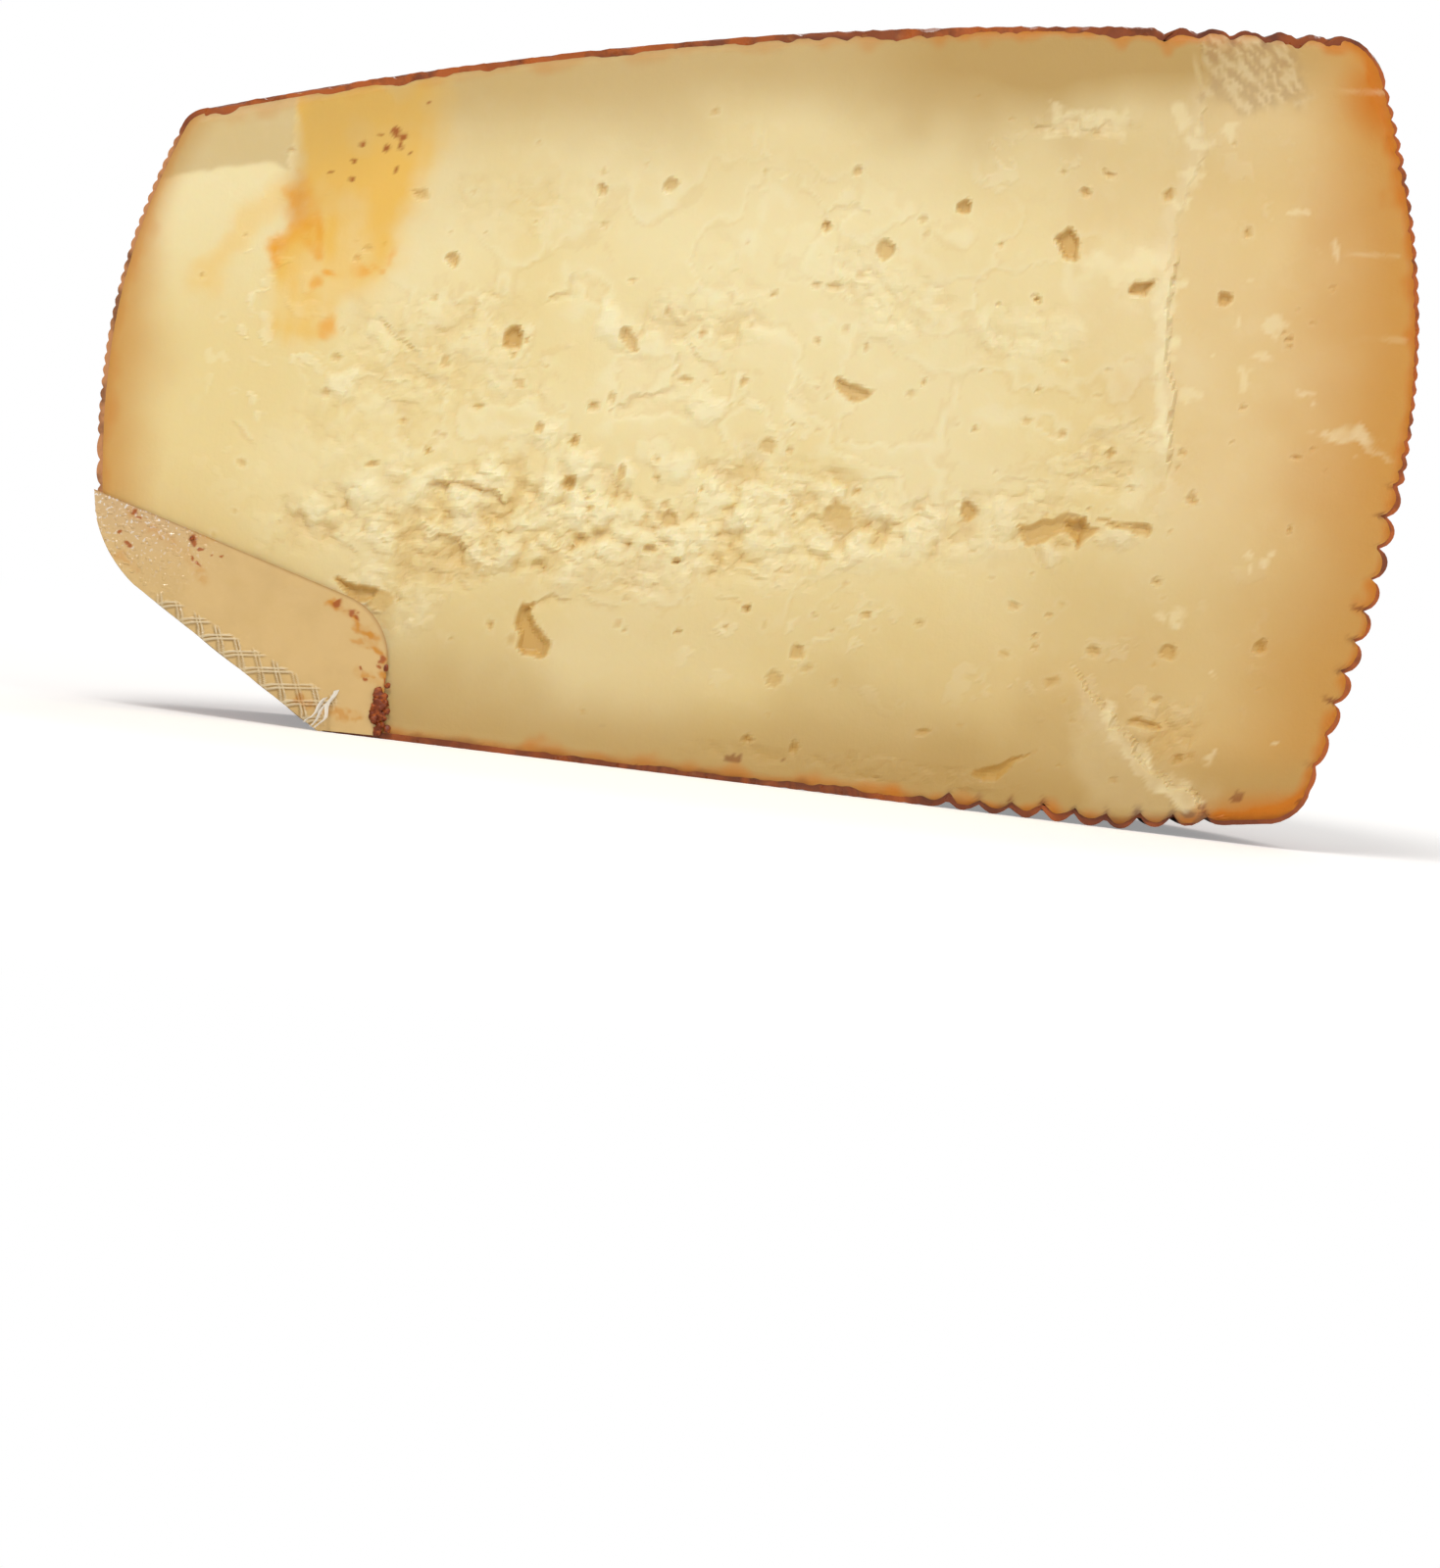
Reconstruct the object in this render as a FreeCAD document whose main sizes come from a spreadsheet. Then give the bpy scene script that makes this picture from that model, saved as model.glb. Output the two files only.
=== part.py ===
# Half wheel of a pressed cheese with an oiled spice rind, standing on its base, cut face to the front.
# Two pieces: the cheese with its moulded rind, and the seal flange of its clear film over one corner.
# Millimetres, +Z up, the cut face looks along -Y. The origin is under the middle of the part, on the table.
import FreeCAD, Part
import math
import os
import random

V = FreeCAD.Vector
doc = FreeCAD.newDocument("cheese_half_wheel")

# ---------------------------------------------------------------- driving dimensions
sizes = {
    # overall form of the wheel, which was pressed uneven: low on the left, high on the right
    "faceWidth": 149.0,
    "backDepth": 74.0,
    "heightLeft": 66.2,
    "heightMiddle": 85.6,
    "heightRight": 93.3,
    "heelStart": 46.5,        # from here to the right the base lifts off the table
    "heelRise": 0.157,        # its lift for each millimetre
    # bulge of the side: height of its widest line, and the curve radius above and below it
    "bulgeHeightRight": 50.0,
    "bulgeHeightLeft": 38.0,
    "bulgeUpperRight": 92.0,
    "bulgeUpperLeft": 73.0,
    "bulgeLowerRight": 145.0,
    "bulgeLowerLeft": 100.0,
    "rimRadius": 3.6,
    # rows of the woven mould band pressed into the side
    "coarsePitch": 3.7,
    "coarseDepth": 1.25,
    "coarseDepthLeft": 0.55,
    "finePitch": 1.6,
    "fineDepth": 0.42,
    "coarseShare": 0.44,      # share of the side's height that has the coarse rows
    # reeds of the draining board: deep under the right half, low on top
    "reedPitch": 3.65,
    "baseReedDepth": 1.25,
    "baseReedFirst": 27.0,
    "baseReedLast": 57.0,
    "topReedDepth": 0.75,
    "topReedFirst": 41.0,
    "topReedLast": 62.0,
    # corner that the mould left short, lower left: its two ends in the cut face, and how fast it fades
    "cornerHigh": 17.0,
    "cornerRun": 29.3,        # from the widest point of the wheel to where the corner reaches the base
    "cornerLow": 0.3,
    "cornerFade": 3.0,        # degrees that the corner's facet leans out towards the back
    # eyes of the cheese
    "eyeDepth": 1.0,          # depth of an eye as a share of its mean width
    "smallEyes": 18,
    "smallEyeWidth": 1.5,
    # clear film: the seal flange folded over that corner
    "filmThick": 0.35,
    "flapLeftRise": 24.3,
    "flapRightRise": 14.2,
    "flapRun": 36.3,          # from the widest point of the wheel to the flange's right end
    "flapCorner": 7.5,
    "flapReturn": 9.0,        # how far the fold runs back under the corner
    "sealPitch": 3.2,
    "sealCells": 8,
    "sealHeight": 2.4,
    "sealRib": 0.36,
    "sealRise": 0.25,
    "sealStart": 9.0,
    "sealOffset": 1.0,
}

sheet = doc.addObject("Spreadsheet::Sheet", "sizes")
for row, (name, value) in enumerate(sizes.items(), start=1):
    sheet.set(f"A{row}", name)
    sheet.set(f"B{row}", str(value))
    sheet.setAlias(f"B{row}", name)
doc.recompute()


def size(name):
    """A driving dimension, as it stands in the spreadsheet."""
    return float(sheet.get(name))


half_width = size("faceWidth") / 2
tallest = max(size("heightLeft"), size("heightMiddle"), size("heightRight"))
margin = 8.0                  # how far blanks and cutters run past what they shape


# ---------------------------------------------------------------- form of the wheel
def top_height(x):
    """Height of the top at x: a parabola through its three heights."""
    share = x / half_width
    left, middle, right = size("heightLeft"), size("heightMiddle"), size("heightRight")
    return middle + share * (right - left) / 2 + share * share * ((right + left) / 2 - middle)


def base_height(x):
    """Height of the base at x: on the table, then lifting towards the right heel."""
    return max(0.0, x - size("heelStart")) * size("heelRise")


def between(right, left, turn):
    """A size that goes from its right value, at turn 0, round the back to its left value, at turn 1."""
    share = (1 - math.cos(math.pi * turn)) / 2
    return size(right) + (size(left) - size(right)) * share


def side_radius(turn, z):
    """Distance of the smooth side from the middle of the cut face."""
    angle = math.pi * turn
    round_plan = 1 / math.hypot(math.cos(angle) / half_width, math.sin(angle) / size("backDepth"))
    rise = z - between("bulgeHeightRight", "bulgeHeightLeft", turn)
    upper, lower = ("bulgeUpperRight", "bulgeUpperLeft"), ("bulgeLowerRight", "bulgeLowerLeft")
    curve = between(*(upper if rise > 0 else lower), turn)
    return round_plan - rise * rise / (2 * curve)


def band_rows():
    """Lines up the band as (share of the side's height, its zone, share of the notch depth), foot to head."""
    side = size("heightMiddle") - 2 * size("rimRadius")
    split = size("coarseShare")
    zones = (("coarse", 0.0, split, size("coarsePitch"), 4), ("fine", split, 1.0, size("finePitch"), 2))
    rows = []
    for zone, first, last, pitch, lines in zones:
        count = max(1, round(side * (last - first) / pitch)) * lines
        for line in range(count):
            crest = abs(math.sin(math.pi * line / lines)) ** 0.8
            rows.append((first + (last - first) * line / count, zone, 1 - crest))
    return [(0.0, "coarse", 0.0), *rows[1:], (1.0, "fine", 0.0)]


def side_column(turn, rows, cap_top):
    """Poles up the wheel at one turn round it: in at the base's rim, up the band, in at the top's rim."""
    angle = math.pi * turn
    rim = size("rimRadius")
    base = base_height(math.cos(angle) * (side_radius(turn, 0) - rim))
    top = top_height(math.cos(angle) * (side_radius(turn, tallest) - rim))
    foot, head = base + rim, top - rim
    bends = [math.radians(a) for a in (18, 36, 54, 74)]
    past = 1.05 * rim         # the blank's ends stand this far inside the side, a little beyond each rim
    notch = {"coarse": between("coarseDepth", "coarseDepthLeft", turn), "fine": size("fineDepth")}

    def at(z, inset):
        radius = side_radius(turn, z) - inset
        return V(radius * math.cos(angle), radius * math.sin(angle) if 0 < turn < 1 else 0.0, z)

    under, over = at(base - past + rim, past), at(top + past - rim, past)
    lower = [at(foot - rim * math.sin(b), rim * (1 - math.cos(b))) for b in reversed(bends)]
    side = [at(foot + (head - foot) * share, notch[zone] * depth) for share, zone, depth in rows]
    upper = [at(head + rim * math.sin(b), rim * (1 - math.cos(b))) for b in bends]
    return [V(under.x, under.y, -margin), under, *lower, *side, *upper, over, V(over.x, over.y, cap_top)]


def clamped_knots(count, degree):
    """Knots and multiplicities of a B-spline that starts and ends on its first and last pole."""
    spans = count - degree
    return list(range(spans + 1)), [degree + 1] + [1] * (spans - 1) + [degree + 1]


def pole_turns(count):
    """Where each pole of a cubic round the wheel stands, from 0 at the right to 1 at the left."""
    knots, mults = clamped_knots(count, 3)
    line = [knot for knot, times in zip(knots, mults) for _ in range(times)]
    return [sum(line[i + 1:i + 4]) / 3 / knots[-1] for i in range(count)]


def banded_blank():
    """The round side with its rows, taller than the cheese, closed by flat ends and the flat cut face."""
    cap_top = tallest + margin
    turns = pole_turns(19)
    rows = band_rows()
    columns = [side_column(turn, rows, cap_top) for turn in turns]
    # a cubic runs inside its poles, so they stand out by this share, less at its two ends
    swell = (math.pi / (len(turns) - 3)) ** 2 / 6
    for i, column in enumerate(columns):
        out = 1 + swell * min(1, i / 2, (len(turns) - 1 - i) / 2)
        column[:] = [V(pole.x * out, pole.y * out, pole.z) for pole in column]
    knots, mults = clamped_knots(len(turns), 3)
    lines = list(zip(*columns))
    faces = []
    for low, high in zip(lines, lines[1:]):
        strip = Part.BSplineSurface()
        strip.buildFromPolesMultsKnots(list(zip(low, high)), mults, [2, 2], knots, [0, 1], False, False, 3, 1)
        faces.append(strip.toShape())

    def edges_where(test):
        near = 1e-6
        return [e for face in faces for e in face.Edges if all(
            abs(test(e.valueAt(p))) < near for p in (e.FirstParameter, e.LastParameter,
                                                     (e.FirstParameter + e.LastParameter) / 2))]

    low_line = Part.LineSegment(lines[0][0], lines[0][-1]).toShape()
    high_line = Part.LineSegment(lines[-1][0], lines[-1][-1]).toShape()
    outline = edges_where(lambda point: point.y) + [low_line, high_line]
    faces.append(Part.Face(Part.Wire(Part.__sortEdges__(outline))))
    for height, line in ((-margin, low_line), (cap_top, high_line)):
        rim_edge = edges_where(lambda point: point.z - height)
        faces.append(Part.Face(Part.Wire(Part.__sortEdges__([*rim_edge, line]))))
    shell = Part.makeShell(faces)
    shell.sewShape()
    solid = Part.Solid(shell)
    solid.fix(1e-6, 1e-6, 1e-4)
    return solid


blank = doc.addObject("Part::Feature", "banded_blank")
blank.Shape = banded_blank()


# ---------------------------------------------------------------- slab between board and press plate
def sketch_on_face(body, name):
    """A sketch in the body's XZ plane: its x runs along the cut face and its y up."""
    sketch = body.newObject("Sketcher::SketchObject", name)
    plane = next(f for f in body.Origin.OriginFeatures if f.Role == "XZ_Plane")
    sketch.AttachmentSupport = [(plane, "")]
    sketch.MapMode = "FlatFace"
    return sketch


def reeds(first, last, depth, height, into):
    """Round reeds with sharp notches between, left to right; into is 1 where notches go up, -1 where down."""
    pitch = size("reedPitch")
    half = pitch / 2
    count = max(1, round((size(last) - size(first)) / pitch))
    notches = [size(first) + i * pitch for i in range(count + 1)]
    run_out = 1 - math.sqrt(3) / 2      # how far a half reed has turned in at half its run

    def at(x, share):
        return V(x, height(x) + into * size(depth) * share, 0)

    start, end = notches[0], notches[-1]
    arcs = [Part.Arc(at(start - half, 0), at(start - half / 2, run_out), at(start, 1))]
    arcs += [Part.Arc(at(x, 1), at(x + half, 0), at(x + pitch, 1)) for x in notches[:-1]]
    arcs.append(Part.Arc(at(end, 1), at(end + half / 2, run_out), at(end + half, 0)))
    return arcs


def slab_outline():
    """Closed outline between the reeded board below and the reeded press plate above."""
    reach = half_width + margin
    below = reeds("baseReedFirst", "baseReedLast", "baseReedDepth", base_height, 1)
    above = reeds("topReedFirst", "topReedLast", "topReedDepth", top_height, -1)

    def plate(x_from, x_to):
        return Part.Arc(*[V(x, top_height(x), 0) for x in (x_from, (x_from + x_to) / 2, x_to)])

    low_left, high_left = V(-reach, 0, 0), V(-reach, top_height(-reach), 0)
    low_right, high_right = V(reach, base_height(reach), 0), V(reach, top_height(reach), 0)
    return [
        Part.LineSegment(low_left, below[0].StartPoint), *below,
        Part.LineSegment(below[-1].EndPoint, low_right), Part.LineSegment(low_right, high_right),
        plate(reach, above[-1].EndPoint.x), *above, plate(above[0].StartPoint.x, -reach),
        Part.LineSegment(high_left, low_left),
    ]


slab = doc.addObject("PartDesign::Body", "press_slab")
slab_sketch = sketch_on_face(slab, "slab_outline")
for edge in slab_outline():
    slab_sketch.addGeometry(edge, False)
doc.recompute()
slab_pad = slab.newObject("PartDesign::Pad", "slab_pad")
slab_pad.Profile = slab_sketch
slab_pad.Midplane = True
slab_pad.setExpression("Length", "sizes.backDepth * 3")
slab.Tip = slab_pad

pressed = doc.addObject("Part::Common", "pressed_wheel")
pressed.Base = blank
pressed.Tool = slab
doc.recompute()


# ---------------------------------------------------------------- corner that the mould left short
high_end = V(-side_radius(1, size("cornerHigh")), 0, size("cornerHigh"))
low_end = V(-half_width + size("cornerRun"), 0, size("cornerLow"))
fold_length = (low_end - high_end).Length
fold_angle = math.degrees(math.atan2(high_end.z - low_end.z, low_end.x - high_end.x))
# local x runs down the fold, local z points into the cheese; leaning about x fades the facet out to the back
along_fold = FreeCAD.Rotation(V(0, 1, 0), fold_angle)
on_facet = along_fold.multiply(FreeCAD.Rotation(V(1, 0, 0), -size("cornerFade")))


def facet_box(name, length, corner):
    """A box laid on the corner's facet, its corner given from the fold's high end in the facet's own axes."""
    box = doc.addObject("Part::Box", name)
    box.setExpression("Length", length)
    box.Placement = FreeCAD.Placement(high_end + on_facet.multVec(corner), on_facet)
    return box


cutter = facet_box("corner_cutter", f"{fold_length} + {4 * margin}", V(-2 * margin, -margin, -4 * margin))
cutter.Height = 4 * margin
cutter.setExpression("Width", f"sizes.backDepth + {2 * margin}")

cornered = doc.addObject("Part::Cut", "cornered_wheel")
cornered.Base = pressed
cornered.Tool = cutter

# ---------------------------------------------------------------- eyes
# name: place across and up the cut face in percent, width and height of the mouth, turn in degrees
eyes = {
    "boot_eye": (-30.5, 20.3, 4.2, 3.6, 20), "boot_heel": (-30.7, 16.3, 3.6, 2.6, -10),
    "boot_toe": (-27.7, 15.4, 2.6, 2, 10), "round_eye": (-38.1, 59.4, 2.7, 3.1, 0),
    "slanted_eye": (44.4, 72.4, 2.9, 4, 25), "square_eye": (27.8, 76.7, 2.1, 2.1, 10),
    "shallow_eye": (16.9, 71.1, 3.2, 2.6, -20), "thin_eye": (7.5, 74.1, 1.6, 2.6, 15),
    "right_eye": (55.6, 67.6, 2.5, 2.2, 0), "rim_eye": (69, 66.6, 1.9, 1.8, 0),
    "middle_eye": (34.2, 37.9, 2.5, 2.3, 0), "crack_left": (44.3, 36.9, 5.4, 1.8, -8),
    "crack_middle": (50.5, 36.5, 5.2, 3.6, 0), "crack_right": (58.3, 37, 7, 1.8, 6),
    "long_eye": (41.5, 6.9, 6.4, 1.9, 24), "flat_eye": (64.6, 12.9, 4.8, 1.5, 0),
    "corner_eye": (-55.3, 24.4, 2.8, 2, 20), "upper_left_eye": (-48.9, 71.3, 1.9, 1.9, 0),
    "left_speck": (-54.9, 81.3, 1.5, 1.4, 0), "upper_eye": (-17.3, 80.2, 1.6, 2.2, -20),
    "small_pair": (-27.4, 80, 1.4, 1.9, 20), "lone_eye": (11, 81.5, 1.5, 1.5, 0),
    "low_eye": (4.7, 5.8, 1.5, 1.3, 0), "curd_eye": (11, 18, 1.5, 1.9, 0),
    "low_right_eye": (55.7, 21.7, 1.7, 1.4, 0), "right_low_eye": (66.8, 22.6, 2.2, 2, 0),
}


def in_face(across, up):
    """The point of the cut face at so many percent of the half width across and of the height there up."""
    x = across / 100 * half_width
    return V(x, 0, up / 100 * top_height(x))


def eye(name, across, up, width, height, turn):
    """An ellipsoid whose middle lies in the cut face."""
    hole = doc.addObject("Part::Ellipsoid", name)
    hole.Angle1, hole.Angle2, hole.Angle3 = -90, 90, 360
    hole.Radius1 = height / 2
    hole.Radius2 = width / 2
    hole.setExpression("Radius3", f"sizes.eyeDepth * {(width + height) / 2}")
    hole.Placement = FreeCAD.Placement(in_face(across, up), FreeCAD.Rotation(V(0, 1, 0), -turn))
    return hole


def small_eye_places():
    """Seeded places for the small eyes, clear of the rind, the corner and one another."""
    draw = random.Random(11)
    taken = [(in_face(across, up), max(width, height)) for across, up, width, height, turn in eyes.values()]
    flange = V(-half_width + size("flapRun") + margin, 0, size("flapLeftRise") + margin)
    places = []
    while len(places) < size("smallEyes"):
        across, up = draw.uniform(-80, 85), draw.uniform(10, 88)
        width = size("smallEyeWidth") * draw.uniform(0.7, 1.3)
        middle = in_face(across, up)
        clear = all((middle - other).Length > other_width / 2 + width + 1 for other, other_width in taken)
        if clear and (middle.x > flange.x or middle.z > flange.z):
            taken.append((middle, width))
            places.append((across, up, width, width * draw.uniform(0.75, 1.1), draw.uniform(-30, 30)))
    return places


holes = [eye(name, *place) for name, place in eyes.items()]
holes += [eye(f"small_eye_{i}", *place) for i, place in enumerate(small_eye_places(), start=1)]
all_eyes = doc.addObject("Part::MultiFuse", "all_eyes")
all_eyes.Shapes = holes

half_wheel = doc.addObject("Part::Cut", "half_wheel")
half_wheel.Label = "half_wheel"
half_wheel.Base = cornered
half_wheel.Tool = all_eyes

# ---------------------------------------------------------------- clear film: flange folded over the corner
flange = doc.addObject("PartDesign::Body", "film_flange")
flange.Placement = FreeCAD.Placement(high_end, along_fold)


def on_flange(x, z):
    """A point of the cut face in the flange's own axes."""
    local = along_fold.inverted().multVec(V(x, 0, z) - high_end)
    return V(local.x, local.z, 0)


def flange_outline():
    """Flange on the cut face: from the side along a straight edge, round a corner, back to the fold."""
    thick, corner = size("filmThick"), size("flapCorner")
    side_x = -side_radius(1, size("flapLeftRise"))
    far_left = on_flange(side_x, size("flapLeftRise"))
    end_x = -half_width + size("flapRun")
    shoulder, far_low = on_flange(end_x, size("flapRightRise")), on_flange(end_x, size("cornerLow"))
    fold_low, fold_high = V(fold_length, -thick, 0), V(0, -thick, 0)
    incoming = (far_left - shoulder).normalize()
    outgoing = (far_low - shoulder).normalize()
    half_turn = math.acos(incoming.dot(outgoing)) / 2
    cut_back = corner / math.tan(half_turn)
    bisector = (incoming + outgoing).normalize()
    round_start, round_end = shoulder + incoming * cut_back, shoulder + outgoing * cut_back
    round_middle = shoulder + bisector * (corner / math.sin(half_turn) - corner)
    return [
        Part.LineSegment(far_left, round_start),
        Part.Arc(round_start, round_middle, round_end),
        Part.LineSegment(round_end, far_low),
        Part.LineSegment(far_low, fold_low),
        Part.LineSegment(fold_low, fold_high),
        Part.LineSegment(fold_high, far_left),
    ]


flange_sketch = sketch_on_face(flange, "flange_outline")
for edge in flange_outline():
    flange_sketch.addGeometry(edge, False)
doc.recompute()
flange_pad = flange.newObject("PartDesign::Pad", "flange_pad")
flange_pad.Profile = flange_sketch
flange_pad.setExpression("Length", "sizes.filmThick")

# one cell of the seal: a raised diamond outline, repeated along the fold
seal_sketch = sketch_on_face(flange, "seal_cell")
cell_x = size("sealStart")
cell_z = size("sealOffset") + size("sealHeight") / 2
for shrink in (0.0, size("sealRib")):
    wide = (size("sealPitch") + size("sealRib") / 2) / 2 - shrink * 1.4
    tall = size("sealHeight") / 2 - shrink
    tips = [V(cell_x + wide, cell_z, 0), V(cell_x, cell_z + tall, 0),
            V(cell_x - wide, cell_z, 0), V(cell_x, cell_z - tall, 0)]
    for start, end in zip(tips, tips[1:] + tips[:1]):
        seal_sketch.addGeometry(Part.LineSegment(start, end), False)
doc.recompute()
seal_pad = flange.newObject("PartDesign::Pad", "seal_pad")
seal_pad.Profile = seal_sketch
seal_pad.setExpression("Length", "sizes.filmThick + sizes.sealRise")
doc.recompute()
seal_row = flange.newObject("PartDesign::LinearPattern", "seal_row")
seal_row.Originals = [seal_pad]
seal_row.Direction = (seal_sketch, ["H_Axis"])
seal_row.setExpression("Occurrences", "sizes.sealCells")
seal_row.setExpression("Length", "sizes.sealPitch * (sizes.sealCells - 1)")
flange.Tip = seal_row

# the fold back under the corner: the slice of the uncut wheel that lies on the facet
return_slice = facet_box("return_slice", f"{fold_length + 2 * margin}", V(-margin, 0, -size("filmThick")))
return_slice.setExpression("Width", "sizes.flapReturn")
return_slice.setExpression("Height", "sizes.filmThick")
film_return = doc.addObject("Part::Common", "film_return")
film_return.Base = pressed
film_return.Tool = return_slice
folded = doc.addObject("Part::Fuse", "folded_film")
folded.Base = flange
folded.Tool = film_return

# the fold stops at the table
table = doc.addObject("Part::Box", "table")
table.setExpression("Length", "sizes.faceWidth * 2")
table.setExpression("Width", "sizes.backDepth * 2")
table.Height = margin
table.Placement.Base = V(-size("faceWidth"), -size("backDepth"), -margin)
film_flap = doc.addObject("Part::Cut", "film_flap")
film_flap.Label = "film_flap"
film_flap.Base = folded
film_flap.Tool = table
doc.recompute()

# ---------------------------------------------------------------- origin and export
parts = [half_wheel, film_flap]
whole = Part.makeCompound([part.Shape for part in parts]).optimalBoundingBox()
to_origin = V(-(whole.XMin + whole.XMax) / 2, -(whole.YMin + whole.YMax) / 2, -whole.ZMin)
for part in parts:
    part.Placement = FreeCAD.Placement(to_origin, FreeCAD.Rotation())

for item in doc.Objects:
    if any(flag in ("Invalid", "Error") for flag in item.State):
        raise RuntimeError(f"{item.Name} did not compute: {item.State}")
for part in parts:
    shape = part.Shape
    if shape.isNull() or not shape.isValid() or len(shape.Solids) != 1:
        raise RuntimeError(f"{part.Label} is not one valid solid")

os.makedirs("parts", exist_ok=True)
for part in parts:
    part.Shape.exportStep(f"parts/{part.Label}.step")
    box = part.Shape.optimalBoundingBox()
    print(f"{part.Label}: {part.Shape.Volume / 1000:.2f} cm3, x {box.XMin:.2f} to {box.XMax:.2f}, "
          f"y {box.YMin:.2f} to {box.YMax:.2f}, z {box.ZMin:.2f} to {box.ZMax:.2f}")
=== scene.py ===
import math
import random
import time

import bpy
import numpy as np
from mathutils import Matrix, Vector


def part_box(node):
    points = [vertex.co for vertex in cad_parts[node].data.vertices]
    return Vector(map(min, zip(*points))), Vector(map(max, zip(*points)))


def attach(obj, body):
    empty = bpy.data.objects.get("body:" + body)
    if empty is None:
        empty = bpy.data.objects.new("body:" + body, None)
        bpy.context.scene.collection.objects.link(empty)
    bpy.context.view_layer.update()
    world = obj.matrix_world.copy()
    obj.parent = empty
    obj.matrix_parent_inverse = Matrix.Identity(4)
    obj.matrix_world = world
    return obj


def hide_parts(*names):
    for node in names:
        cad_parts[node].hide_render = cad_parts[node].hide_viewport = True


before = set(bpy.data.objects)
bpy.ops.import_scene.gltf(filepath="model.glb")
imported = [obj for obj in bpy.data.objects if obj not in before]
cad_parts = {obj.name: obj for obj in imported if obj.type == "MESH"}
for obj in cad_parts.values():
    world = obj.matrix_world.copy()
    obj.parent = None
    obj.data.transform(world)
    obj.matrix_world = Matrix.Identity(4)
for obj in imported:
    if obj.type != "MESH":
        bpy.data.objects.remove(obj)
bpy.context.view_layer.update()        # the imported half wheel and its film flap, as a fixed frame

started = time.time()
millimetre = 0.001
wheelLow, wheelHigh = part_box("half_wheel")
faceY = wheelLow[1] / millimetre            # where the cut face lies, in mm


def report(stage):
    print(f"{time.time() - started:6.1f} s  {stage}")


# noise on arrays of points, in mm

def lumps(x, y, z, size, seed):
    # smooth noise from -1 to 1 whose lumps are about size across
    table = np.random.default_rng(seed).uniform(-1, 1, 4096)
    cells, shares = [], []
    for values in (x, y, z):
        scaled = np.asarray(values, dtype=float) / size
        cell = np.floor(scaled)
        share = scaled - cell
        cells.append(cell.astype(np.int64))
        shares.append(share * share * share * (share * (share * 6 - 15) + 10))
    total = 0
    for corner in range(8):
        weight, key = 1.0, 0
        for axis, prime in enumerate((73856093, 19349663, 83492791)):
            step = corner >> axis & 1
            weight = weight * (shares[axis] if step else 1 - shares[axis])
            key = key ^ ((cells[axis] + step) * prime)
        total = total + weight * table[key & 4095]
    return total


def fractal(x, y, z, size, octaves, seed):
    total, reach = 0, 0
    for octave in range(octaves):
        share = 0.5 ** octave
        total = total + share * lumps(x, y, z, size * share, seed + octave)
        reach += share
    return total / reach * 1.6


def onCut(x, z, size, octaves, seed):
    return fractal(x, 0, z, size, octaves, seed)


def shifted(x, z, far, size, octaves, seeds):
    # places on the cut moved a little, so that an edge drawn through them comes out ragged
    return x + far * onCut(x, z, size, octaves, seeds[0]), z + far * onCut(x, z, size, octaves, seeds[1])


def mounds(x, z, size, seed):
    # round lumps piled on each other: height of the highest, 0 to 1
    table = np.random.default_rng(seed).random((4, 4096))
    cellX, cellZ = np.floor(x / size).astype(np.int64), np.floor(z / size).astype(np.int64)
    top = np.zeros(x.shape)
    for stepX in (-1, 0, 1):
        for stepZ in (-1, 0, 1):
            key = ((cellX + stepX) * 73856093 ^ (cellZ + stepZ) * 19349663) & 4095
            middleX = (cellX + stepX + 0.1 + 0.8 * table[0][key]) * size
            middleZ = (cellZ + stepZ + 0.1 + 0.8 * table[1][key]) * size
            reach = size * (0.5 + 0.45 * table[2][key])
            share = 1 - ((x - middleX) ** 2 + (z - middleZ) ** 2) / reach ** 2
            top = np.maximum(top, np.clip(share, 0, 1) ** 0.7 * (0.35 + 0.65 * table[3][key]))
    return top


def smooth(low, high, values):
    share = np.clip((values - low) / (high - low), 0, 1)
    return share * share * (3 - 2 * share)


# the wheel's form, as the solid has it, in mm

wheel = {
    "halfWidth": (wheelHigh[0] - wheelLow[0]) / 2 / millimetre,
    "backDepth": (wheelHigh[1] - wheelLow[1]) / millimetre,
    "heightLeft": 66.2, "heightMiddle": 85.6, "heightRight": 93.3,
    "heelStart": 46.5, "heelRise": 0.157,
    "bulgeHeight": (50.0, 38.0),            # each pair: right side, left side
    "bulgeUpper": (92.0, 73.0),
    "bulgeLower": (145.0, 100.0),
    "rim": (3.6, 2.0),
    "coarseRows": 10, "coarseDepth": (1.25, 0.6), "coarseShare": 0.44,
    "fineRows": 27, "fineDepth": (0.42, 0.26),
    "reedPitch": 3.65, "baseReeds": (27.0, 57.0, 1.25), "topReeds": (41.0, 62.0, 0.7),
    "cornerHigh": 17.0, "cornerRun": 29.3, "cornerLow": 0.3, "cornerFade": 3.0, "cornerEase": 15.0,
    "edgeThick": (0.42, 0.24),              # rind that shows round the cut face, in mm
    "flatEdge": {"base": 0.2, "top": 0.42},  # how much more of it shows there
}
halfWidth = wheel["halfWidth"]


def topHeight(x):
    share = x / halfWidth
    left, middle, right = wheel["heightLeft"], wheel["heightMiddle"], wheel["heightRight"]
    return middle + share * (right - left) / 2 + share * share * ((right + left) / 2 - middle)


def baseHeight(x):
    return np.maximum(0.0, x - wheel["heelStart"]) * wheel["heelRise"]


def between(pair, turn):
    # from the right side, at turn 0, round the back to the left side, at turn 1
    share = (1 - np.cos(np.pi * turn)) / 2
    return pair[0] + (pair[1] - pair[0]) * share


def sideRadius(turn, z):
    angle = np.pi * turn
    plan = 1 / np.hypot(np.cos(angle) / halfWidth, np.sin(angle) / wheel["backDepth"])
    rise = z - between(wheel["bulgeHeight"], turn)
    curve = np.where(rise > 0, between(wheel["bulgeUpper"], turn), between(wheel["bulgeLower"], turn))
    return plan - rise * rise / (2 * curve)


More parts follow.
